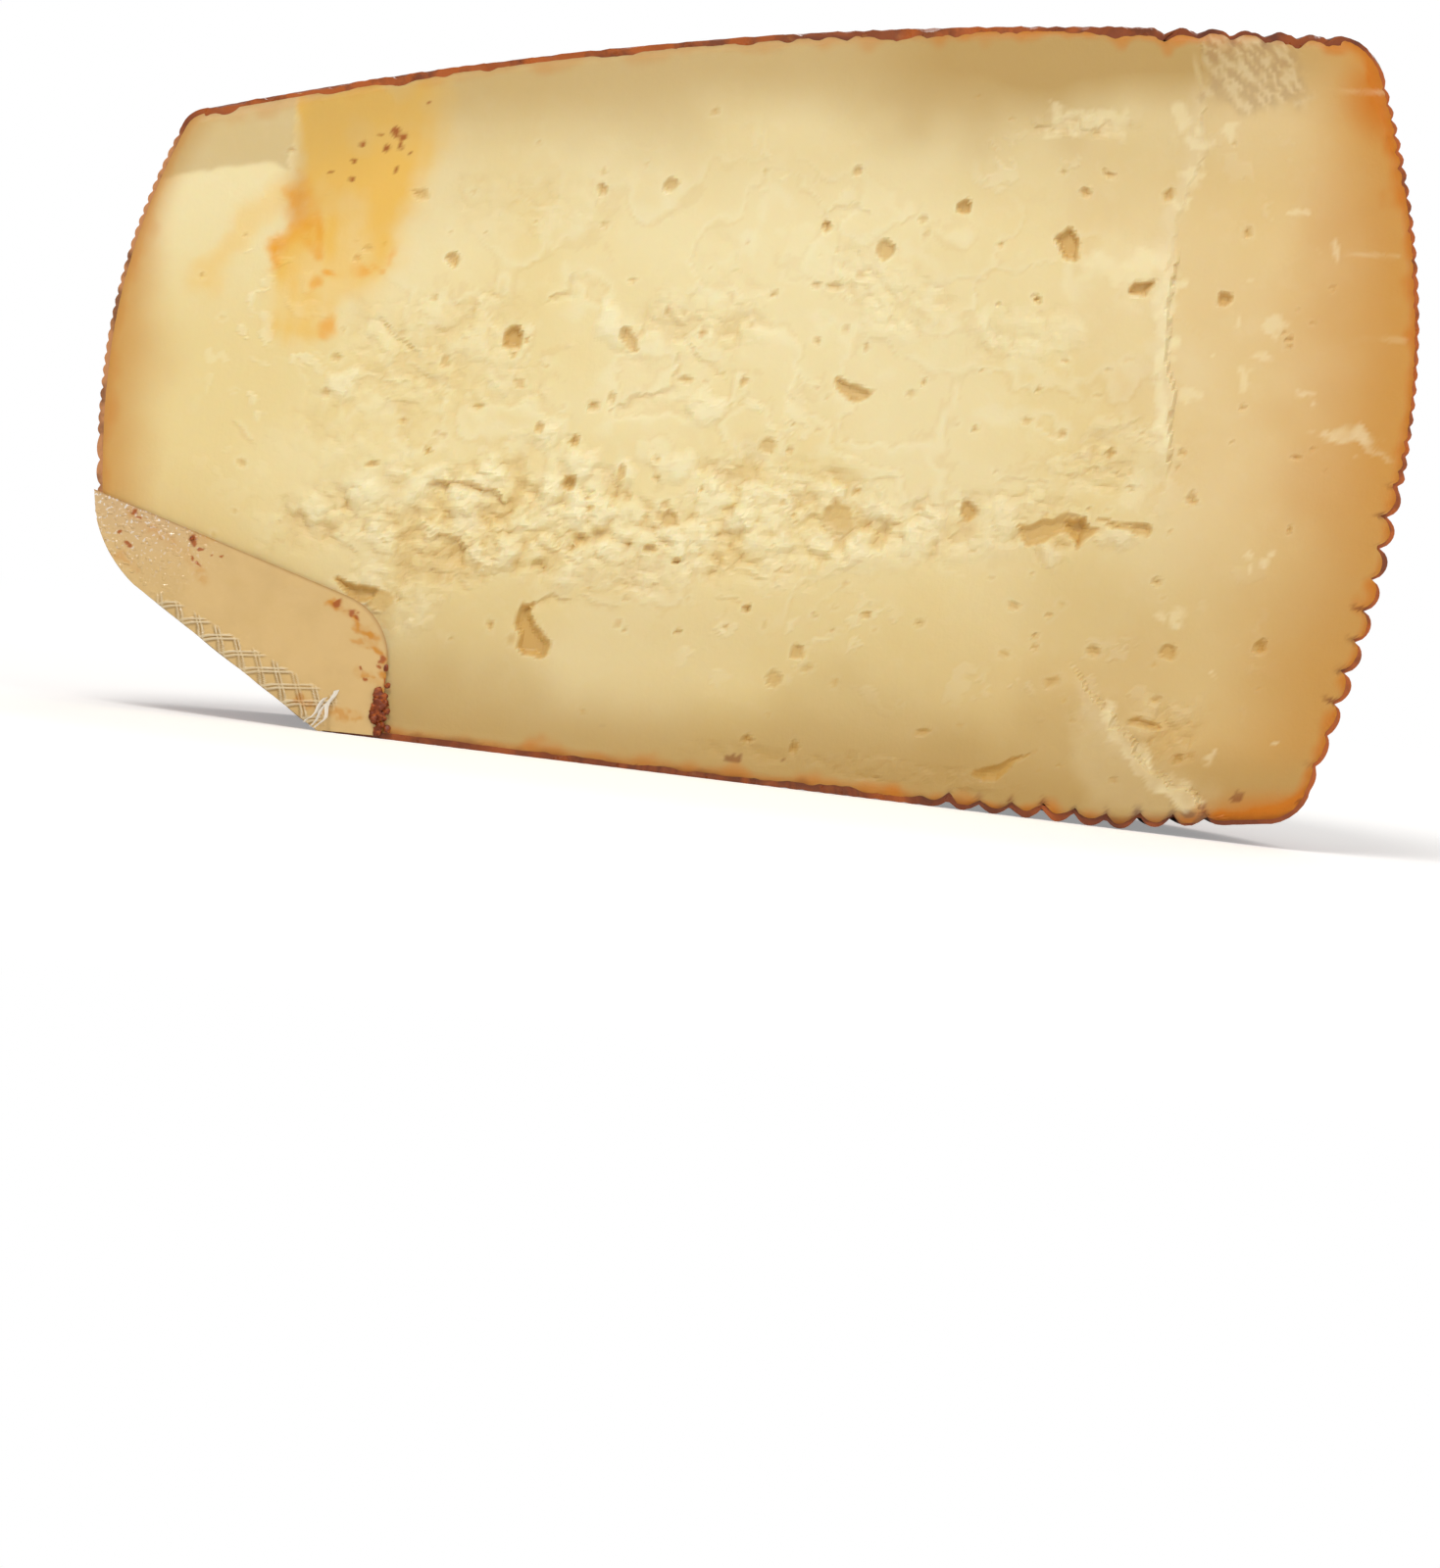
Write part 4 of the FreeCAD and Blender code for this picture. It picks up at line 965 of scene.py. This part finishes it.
rind = {
    "turns": 225,
    "reedStep": 0.47,                        # mm between rows where the board's reeds run
    "innerRows": 34,                         # rows between the middle and the reeds
    "rimRows": 6, "coarseSamples": 8, "fineSamples": 4,
    "frontBack": 0.22,                       # how far the rind's cut edge lies behind the paste, in mm
    "lipWave": 0.42,                         # unevenness of the top's edge at the cut, in mm
    "ringShrink": 0.965, "recess": 8.0, "weld": 0.02,
}


def rindRows():
    # every row of the rind from the middle of the base to the middle of the top
    split = wheel["coarseShare"]
    coarse = np.linspace(0, split, wheel["coarseRows"] * rind["coarseSamples"] + 1)
    fine = np.linspace(split, 1, wheel["fineRows"] * rind["fineSamples"] + 1)[1:]
    rows = [("base", value) for value in reedRows(wheel["baseReeds"])]
    rows += [("foot", float(value)) for value in np.linspace(1, 0, rind["rimRows"] + 1)[1:]]
    rows += [("side", float(value)) for value in np.concatenate([coarse[1:], fine])[:-1]]
    rows += [("head", float(value)) for value in np.linspace(0, 1, rind["rimRows"] + 1)]
    rows += [("top", value) for value in reedRows(wheel["topReeds"])[-2::-1]]
    return rows


def reedRows(reeds):
    # shares of the way out from the middle, close together from where the reeds begin
    reach = halfWidth - wheel["rim"][0]
    first = reeds[0] - 2
    inner = np.linspace(0, first, rind["innerRows"], endpoint=False)
    outer = np.linspace(first, reach, round((reach - first) / rind["reedStep"]))
    return [float(value) for value in np.concatenate([inner, outer]) / reach]


def makeRind():
    rows = rindRows()
    piece, column, row = startGrid("cheeseRind", rind["turns"], len(rows))
    turns = np.linspace(0, 1, rind["turns"])
    places = np.zeros((len(rows), rind["turns"], 4))
    for i, (part, value) in enumerate(rows):
        places[i] = np.stack(rindPoint(part, value, turns), axis=1)
    x, y, z, notch = (places[row, column, axis] for axis in range(4))
    x, z = trimCorner(x, y, z)
    front = (column == 0) | (column == rind["turns"] - 1)
    y = np.where(front | (y < rind["frontBack"]), rind["frontBack"], y)
    lip = (y <= rind["frontBack"]) & (z > topHeight(x) - 3)
    z = z - lip * np.clip(rind["lipWave"] * onCut(x, z * 0, 1.6, 3, 97), -0.05, 0.5)
    placeVertices(piece, x, y, z)
    paint(piece, "groove", notch * (0.3 + 0.7 * smooth(0, 3, y)))
    paint(piece, "cut", front * 1.0)
    onSide = smooth(2, 6, z - baseHeight(x)) * smooth(1, 4, topHeight(x) - z)
    paint(piece, "pale", front * smooth(20, -50, x) * onSide)
    onTop = smooth(3, 1, topHeight(x) - z) * np.clip(0.45 + 0.9 * onCut(x, z, 7, 3, 39), 0, 1)
    patchy = np.clip(0.8 + 0.55 * onCut(x, z, 2.4, 3, 99), 0.15, 1)
    # darker along the top of the cut edge, the rind's own dark line, and along its base, the rind's own brown
    # with painted shade where the cheese sits
    paint(piece, "rindDarkAndBaseShade", front * (smooth(4, 1, z - baseHeight(x)) + onTop) * patchy)
    closeEdge(piece, [(0, rind["ringShrink"]), (rind["recess"], 1)], weld=rind["weld"])
    return piece


cheeseRind = makeRind()
report("rind")


# film flange over the short corner

film = {
    "thick": 0.16, "lift": 0.16,             # of the film, and how far it stands off the paste, in mm
    "leftRise": 24.3, "rightRise": 14.2, "run": 36.3, "corner": 7.5, "returnRun": 9.0,
    "foldRound": 0.22,                       # how far the fold stands off the corner, in mm
    "pucker": 0.09, "wrinkle": 0.03, "droplet": 0.09,
    "columns": 270, "rows": 136, "returnRows": 22,
    "sealPitch": 3.0, "sealHeight": 2.3, "sealGap": 0.2, "sealRise": 0.2,      # embossed net of the heat seal
    "sealBand": ((8.0, 0.9), (31.5, 3.9)),   # how wide the net is: along the fold, up from it
}
foldAlong = (facetRun[0] / facetLength, facetRun[1] / facetLength)
foldUp = (-facetOut[0], -facetOut[1])                      # from the fold up over the face


def onFlap(x, z):
    # along the fold and up over the face, in mm
    away = (x - facetHigh[0], z - facetHigh[1])
    return (away[0] * foldAlong[0] + away[1] * foldAlong[1], away[0] * foldUp[0] + away[1] * foldUp[1])


def flapTop():
    # the flange's free edge, from the side to the table, round its corner
    sideX = -float(sideRadius(1.0, film["leftRise"]))
    farLeft = np.array(onFlap(sideX - 0.25, film["leftRise"]))
    endX = -halfWidth + film["run"]
    shoulder = np.array(onFlap(endX, film["rightRise"]))
    farLow = np.array(onFlap(endX, wheel["cornerLow"]))
    incoming = (farLeft - shoulder) / np.linalg.norm(farLeft - shoulder)
    outgoing = (farLow - shoulder) / np.linalg.norm(farLow - shoulder)
    halfTurn = math.acos(float(incoming @ outgoing)) / 2
    bisector = (incoming + outgoing) / np.linalg.norm(incoming + outgoing)
    centre = shoulder + bisector * film["corner"] / math.sin(halfTurn)
    cutBack = film["corner"] / math.tan(halfTurn)
    start, end = shoulder + incoming * cutBack, shoulder + outgoing * cutBack
    first, last = (math.atan2(*(point - centre)[::-1]) for point in (start, end))
    if last > first:
        last -= 2 * math.pi
    angles = np.linspace(first, last, 14)
    arc = centre + film["corner"] * np.stack([np.cos(angles), np.sin(angles)], axis=1)
    return np.concatenate([[farLeft], arc, [farLow]])


def sealNet(along, up):
    # double-lined net pressed along the fold: 1 on a line
    phase, rise = along / film["sealPitch"], up / film["sealHeight"]
    lines = np.zeros_like(along)
    for crossing in (phase + rise, phase - rise):
        away = np.abs((crossing + 0.5) % 1 - 0.5) * film["sealPitch"] * 0.65
        lines = np.maximum(lines, smooth(0.15, 0.05, np.abs(away - film["sealGap"])))
    (firstAlong, firstUp), (lastAlong, lastUp) = film["sealBand"]
    share = (along - firstAlong) / (lastAlong - firstAlong)
    height = firstUp + (lastUp - firstUp) * share
    inside = smooth(0.25, -0.15, up - height) * smooth(-0.02, 0.04, share) * smooth(1.03, 0.97, share)
    return lines * inside * (0.75 + 0.25 * lumps(along, 0, up, 3, 73))


def makeFlap():
    columns, rows, returnRows = film["columns"], film["rows"], film["returnRows"]
    piece, column, row = startGrid("filmFlap", columns, rows)
    topLine = resample(flapTop(), columns)
    onFace = np.clip((row - returnRows) / (rows - 1 - returnRows), 0, 1)
    back = np.clip((returnRows - row) / returnRows, 0, 1)
    foot = np.linspace(-0.2, facetLength + 0.3, columns)[column]
    along = foot * (1 - onFace) + topLine[column, 0] * onFace
    up = topLine[column, 1] * onFace
    x = facetHigh[0] + along * foldAlong[0] + up * foldUp[0]
    z = facetHigh[1] + along * foldAlong[1] + up * foldUp[1]
    left = smooth(14, 2, along)
    net = sealNet(along, up) * (row >= returnRows)
    droplets = smooth(0.3, 0.65, lumps(x, 0, z, 0.42, 74)) * np.maximum(left, 0.6 * smooth(1.6, 0.2, up))
    pucker = film["pucker"] * onCut(x, z, 7, 3, 71) + film["wrinkle"] * onCut(x, z, 1.5, 2, 72)
    proud = film["lift"] + pucker + net * film["sealRise"] + film["droplet"] * droplets * (row >= returnRows)
    # the film rolls round the fold and runs back under the corner
    inFront = np.clip(proud, 0.03, 0.56) * smooth(-0.02, 0.06, onFace)
    y = np.where(back > 0, back * film["returnRun"], -inFront)
    behind = film["foldRound"] + 0.1 * fractal(x, y, z, 4, 2, 75)
    out = np.where(back > 0, behind, film["foldRound"] * smooth(0.06, 0, onFace))
    out = out - y * cornerSlope * (back > 0)
    x, z = x + out * facetOut[0], z + out * facetOut[1]
    x, z = trimCorner(x, np.maximum(y, 0), z, 0.3)
    z = np.maximum(z, 0.1)
    placeVertices(piece, x, y, z)
    tints = filmPaint(x, z, along, onFace * (row >= returnRows))
    # the net, whose lines take a painted highlight, and painted shade just below each line
    tints["net"], tints["netShade"] = net, sealNet(along, up + 0.26) * (1 - net) * (row >= returnRows)
    for name, values in tints.items():
        paint(piece, name, values)
    thicken(piece, film["thick"])
    return piece


def thicken(piece, thick):
    # gives a sheet its wall, outwards from the paste
    bpy.context.view_layer.objects.active = piece
    wall = piece.modifiers.new("wall", "SOLIDIFY")
    wall.thickness, wall.offset, wall.use_even_offset = thick * millimetre, 0, False
    bpy.ops.object.modifier_apply(modifier=wall.name)


spice = {
    "spots": [(-62.1, 20.1, 0.62), (-61.0, 19.4, 0.3), (-61.9, 18.0, 0.34), (-61.1, 17.5, 0.28),
              (-59.7, 18.7, 0.2), (-58.2, 17.9, 0.24), (-68.9, 22.4, 0.36), (-68.3, 21.9, 0.22),
              (-70.4, 19.4, 0.24), (-69.5, 18.4, 0.3), (-38.9, 9.2, 0.5), (-39.0, 8.3, 0.3),
              (-41.0, 7.6, 0.25), (-40.2, 6.4, 0.3), (-44.6, 14.6, 0.5), (-43.2, 13.8, 0.45),
              (-42.4, 13.4, 0.4), (-38.0, 6.6, 0.4)],
    "smears": [([(-69.6, 22.4), (-65.0, 19.6), (-61.0, 17.0), (-60.0, 15.8)], 1.0, 0.35),
               ([(-62.2, 20.6), (-59.0, 20.2)], 0.8, 0.3),
               ([(-45.4, 14.8), (-43.2, 13.6), (-40.8, 11.8), (-39.0, 9.6), (-38.2, 6.6), (-38.4, 3.6)],
                0.75, 0.9),
               ([(-42.4, 10.8), (-41.4, 10.9), (-40.6, 10.3)], 0.6, 0.6),
               ([(-41.6, 7.2), (-39.6, 6.6), (-38.4, 6.0)], 0.7, 0.7),
               ([(-47.8, 3.4), (-44.0, 2.2), (-41.0, 2.4)], 0.9, 0.6),
               ([(-70.2, 17.2), (-68.6, 16.2)], 0.9, 0.4)],
    "crumbs": [(-38.7, 4.9, 0.62), (-38.4, 3.9, 0.8), (-38.7, 3.0, 0.78), (-38.0, 2.4, 0.6),
               (-38.9, 2.1, 0.66), (-38.3, 1.5, 0.6), (-37.7, 3.3, 0.42), (-37.9, 6.1, 0.36),
               (-39.2, 3.6, 0.4), (-38.5, 0.9, 0.55), (-37.4, 1.1, 0.42), (-38.3, 8.1, 0.28),
               (-62.1, 20.1, 0.3)],
}


def filmPaint(x, z, along, onFace):
    # smears and spots of rub, how the film looks near the side, and along its free edge a painted shadow line
    # with stain
    warpX, warpZ = shifted(x, z, 0.45, 1.3, 3, (76, 77))
    smear, spot = np.zeros_like(x), np.zeros_like(x)
    for line, reach, share in spice["smears"]:
        away, _ = distanceAlong(warpX, warpZ, line)
        patchy = smooth(-0.35, 0.35, onCut(x, z, 0.9, 2, 78))
        smear = np.maximum(smear, share * smooth(reach, 0.1, away) * (0.35 + 0.65 * patchy))
    for middleX, middleZ, reach in spice["spots"]:
        away = np.hypot(warpX - middleX, warpZ - middleZ) / reach
        spot = np.maximum(spot, smooth(1.15, 0.6, away))
    return {"smear": smear, "spot": spot, "left": smooth(13, 1, along) * onFace,
            "edgeStainAndShadow": smooth(0.965, 1.0, onFace)}


def makeStrands():
    # loose ends of the seal that hang from the fold, in mm: across, in front, up
    lines = [
        [(-43.6, -0.5, 4.9), (-44.4, -1.0, 3.4), (-45.2, -1.5, 1.9), (-46.1, -1.7, 0.5)],
        [(-43.9, -0.4, 4.4), (-44.3, -1.4, 3.0), (-44.6, -2.0, 1.6), (-45.4, -2.2, 0.4)],
        [(-44.6, -0.4, 3.9), (-45.6, -0.8, 2.6), (-46.0, -1.2, 1.5), (-46.9, -1.2, 0.9)],
    ]
    steps, thick = 18, 0.09
    strands = []
    for number, line in enumerate(lines):
        piece, column, row = startGrid(f"filmStrand{number + 1}", steps, 3)
        # a smooth path through the points
        share = column / (steps - 1) * (len(line) - 1)
        path = [np.interp(share, range(len(line)), places) for places in zip(*line)]
        width = (0.62 - 0.4 * column / (steps - 1)) * (row - 1) * 0.5
        sway = 0.16 * np.sin(column / (steps - 1) * 9 + number * 2)
        x = path[0] + width * 0.9 + sway
        y = path[1] + 0.14 * np.abs(row - 1) + 0.3 * width
        placeVertices(piece, x, y, path[2] + width * 0.35)
        thicken(piece, thick)
        strands.append(piece)
    return strands


def makeCrumbs():
    # dried rub caught along the film's edge: one lump, copied and squeezed
    draw = random.Random(23)
    lumpsMade = []
    for number, (x, z, reach) in enumerate(spice["crumbs"]):
        deselectAll()
        bpy.ops.mesh.primitive_ico_sphere_add(subdivisions=3, radius=reach * millimetre)
        crumb = bpy.context.object
        flat = np.empty(len(crumb.data.vertices) * 3)
        crumb.data.vertices.foreach_get("co", flat)
        points = flat.reshape(-1, 3) / millimetre
        swell = 1 + 0.6 * fractal(points[:, 0] + 9 * number, points[:, 1], points[:, 2], 0.6, 2, 79)
        points = points * swell[:, None] * np.array([draw.uniform(0.7, 1.1), 0.55, draw.uniform(0.8, 1.2)])
        points += np.array([x, faceY - 0.35, max(z, reach * 0.8 + 0.05)])
        crumb.data.vertices.foreach_set("co", (points * millimetre).ravel())
        crumb.data.update()
        lumpsMade.append(crumb)
    deselectAll()
    for crumb in lumpsMade:
        crumb.select_set(True)
    bpy.context.view_layer.objects.active = lumpsMade[0]
    bpy.ops.object.join()
    lumpsMade[0].name = "driedRub"
    bpy.ops.object.shade_smooth()
    return lumpsMade[0]


filmFlap = makeFlap()
filmStrands = makeStrands()
driedRub = makeCrumbs()
report("film flange, its loose ends and dried rub")


# materials

def grainNoise(tree, grain, detail, stretch=(1, 1, 1)):
    # noise whose lumps are about grain mm across, from the piece's own place
    place = addNode(tree, "ShaderNodeTexCoord").outputs["Object"]
    scaled = addNode(tree, "ShaderNodeMapping", {"Vector": place, "Scale": stretch}).outputs[0]
    return addNode(tree, "ShaderNodeTexNoise", {"Vector": scaled, "Scale": 1000 / grain, "Detail": detail,
                                                "Roughness": 0.55}).outputs["Fac"]


def maskFrom(tree, source, low=0.0, high=1.0, ends=(0.0, 1.0)):
    # a mask painted on the piece, by its name, or noise, by its grain; low and high come out as the ends
    if isinstance(source, str):
        value = addNode(tree, "ShaderNodeAttribute", attribute_name=source).outputs["Fac"]
    else:
        value = grainNoise(tree, *source)
    if (low, high) == (0.0, 1.0):
        return value
    return addNode(tree, "ShaderNodeMapRange", {"Value": value, "From Min": low, "From Max": high,
                                                "To Min": ends[0], "To Max": ends[1]}).outputs[0]


def buildMaterial(name, look):
    # a principled shader: its colour is mixed tint by tint, and each bump lies on the one before
    material, tree = newMaterial(name)
    color = linear(look["start"])
    for tint, share, *masks in look.get("tints", ()):
        factor = share
        for mask in masks:
            value = maskFrom(tree, *(mask if isinstance(mask, tuple) else (mask,)))
            factor = addNode(tree, "ShaderNodeMath", {0: value, 1: factor}, operation="MULTIPLY",
                             use_clamp=True).outputs[0]
        color = addNode(tree, "ShaderNodeMix", {0: factor, 6: color, 7: linear(look[tint])},
                        data_type="RGBA").outputs[2]
    roughness = look["roughness"]
    if "roughGrain" in look:
        roughness = maskFrom(tree, look["roughGrain"], 0.35, 0.7, roughness)
    sockets = {"Base Color": color, "Roughness": roughness, **look["surface"]}
    for grain, strength, distance in look.get("bumps", ()):
        bump = {"Height": grainNoise(tree, *grain), "Strength": strength, "Distance": distance * millimetre}
        if "Normal" in sockets:
            bump["Normal"] = sockets["Normal"]
        sockets["Normal"] = addNode(tree, "ShaderNodeBump", bump).outputs[0]
    shader = addNode(tree, "ShaderNodeBsdfPrincipled", sockets)
    addNode(tree, "ShaderNodeOutputMaterial", {"Surface": shader.outputs[0]})
    return material


# each look has its colours; its tints, as a colour, how far towards it, and masks, which are painted or are
# grain from low to high; its roughness, or the range of it over a grain; and bumps as grain, strength and mm

pasteLook = {
    # aged sheep's milk paste, pressed and cut: firm, a little oily, and light sinks into it
    "start": "#F3E2AF", "pale": "#F7EABD", "chalk": "#FAF1CC", "butter": "#ECD492", "dull": "#BF9C5C",
    "amber": "#CD8E30", "rim": "#CE780E", "stain": "#F2BE44", "deepStain": "#F0A006", "speck": "#A04808",
    # of the last three colours, the first is the rind's brown at the paste's edge with painted shade in the
    # nicks and along the base, the second is painted shade in eyes, pits and under ledges, the third is
    # painted shade in creased film marks
    "rindBrownAndShade": "#7C3408", "hollowShade": "#CB9632", "fold": "#A98767",
    "tints": [
        ("butter", 0.55, ((22, 2), 0.42, 0.66)), ("pale", 0.3, ((2.6, 4), 0.52, 0.74)),
        ("butter", 0.75, "warm"), ("chalk", 0.6, "chalk"), ("amber", 0.9, "amber"), ("stain", 0.85, "stain"),
        ("deepStain", 0.85, "deepStain"), ("dull", 0.8, "dull"), ("rim", 1.0, "rim"),
        ("rindBrownAndShade", 0.8, "rindBrownAndShade"), ("pale", 0.66, "flake"), ("fold", 0.5, "folds"),
        ("hollowShade", 0.62, "hollowShade"), ("speck", 0.85, "speck")],
    "roughness": (0.4, 0.64), "roughGrain": (1.4, 3),
    "surface": {"IOR": 1.45, "Specular IOR Level": 0.38, "Subsurface Weight": 0.42,
                "Subsurface Radius": (1.0, 0.7, 0.35), "Subsurface Scale": 1.3 * millimetre},
    "bumps": [((0.55, 2), 0.16, 0.18), ((0.5, 2, (1, 1, 0.06)), 0.1, 0.15)],      # curd grain, then the knife
}

rindLook = {
    # rind rubbed with oil and paprika: brown in the grooves, orange where the crests are wiped, oily gloss
    "start": "#93481A", "ember": "#B3641F", "shade": "#58260C", "groove": "#431C08", "bloom": "#BF8C50",
    "cutEdge": "#BC5C10", "cutPale": "#CC9460", "cutDark": "#66280A",
    "tints": [
        ("shade", 0.75, ((9, 4), 0.4, 0.66)), ("shade", 0.55, ((1.6, 3, (0.12, 0.12, 1)), 0.5, 0.66)),
        ("ember", 0.65, ((4, 4), 0.55, 0.72)), ("bloom", 0.25, ((1.2, 3), 0.6, 0.74)),
        ("groove", 0.85, ("groove", 0.12, 0.55)),
        # the cut edge is thin and lets light through: amber, paler to the left, dark only in the nicks; the
        # darker band along its base is painted shade over the rind's own brown
        ("cutEdge", 0.75, "cut"), ("cutPale", 0.7, "pale"), ("cutDark", 0.8, "rindDarkAndBaseShade"),
        ("shade", 0.7, "cut", ((3.4, 3), 0.52, 0.66)), ("groove", 0.85, "cut", ("groove", 0.45, 0.95))],
    "roughness": (0.26, 0.54), "roughGrain": (2.2, 3),
    "surface": {"IOR": 1.47, "Coat Weight": 0.3, "Coat Roughness": 0.18},
    "bumps": [((0.7, 4), 0.35, 0.3)],
}

filmLook = {
    # clear nylon and polythene film, hazy with fat where it touches the paste: glossy, and the net stands out
    "start": "#EBC684", "haze": "#DDB876", "left": "#DDB888", "netHighlight": "#F8ECCC", "netShade": "#9C763C",
    "smear": "#DA8C00", "spot": "#B05200", "edgeStainAndShadow": "#A8702A", "droplet": "#FFFAF0",
    "tints": [
        # the net's pale lines are a painted highlight
        ("haze", 0.5, ((6, 3), 0.42, 0.68)), ("left", 0.8, "left"), ("netHighlight", 0.62, "net"),
        # painted shade just below each net line, and near-white specks over the left part: painted glints on
        # the droplets
        ("netShade", 0.62, "netShade"), ("droplet", 0.85, ((0.42, 1), 0.6, 0.66), "left"),
        # a painted shadow line with stain along the free edge
        ("edgeStainAndShadow", 0.6, "edgeStainAndShadow"), ("smear", 0.95, "smear"), ("spot", 0.9, "spot")],
    "roughness": 0.24,
    "surface": {"IOR": 1.5, "Alpha": 0.86, "Coat Weight": 0.5, "Coat Roughness": 0.08},
    "bumps": [((0.8, 3), 0.3, 0.2)],
}

strandLook = {
    # the same film where it hangs free: clear, seen by its highlights, which are painted into its near-white
    # colour on top of its glossy coat
    "start": "#FFF8EA", "roughness": 0.14,
    "surface": {"IOR": 1.5, "Alpha": 0.72, "Coat Weight": 0.8, "Coat Roughness": 0.05},
}

rubLook = {
    # oil, paprika and crumbs of paste dried together: dark red brown with orange flecks
    "start": "#7A3006", "fleck": "#BC5C0C", "tints": [("fleck", 0.85, ((0.6, 3), 0.48, 0.66))],
    "roughness": 0.4, "surface": {"IOR": 1.47}, "bumps": [((0.35, 3), 0.6, 0.2)],
}

for pieces, name, look in (([cheesePaste], "agedPressedPaste", pasteLook),
                           ([cheeseRind], "oiledPaprikaRind", rindLook),
                           ([filmFlap], "clearVacuumFilm", filmLook),
                           ([driedRub], "driedPaprikaRub", rubLook),
                           (filmStrands, "clearFilmStrand", strandLook)):
    material = buildMaterial(name, look)
    for piece in pieces:
        piece.data.materials.append(material)
report("materials")

for piece, node, slot in ((cheesePaste, "half_wheel", "paste"), (cheeseRind, "half_wheel", "rind"),
                          (filmFlap, "film_flap", "film")):
    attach(piece, "root")
    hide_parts(node)
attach(driedRub, "root")
for strand in filmStrands:
    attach(strand, "root")

deselectAll()
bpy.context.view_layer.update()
report("finished")
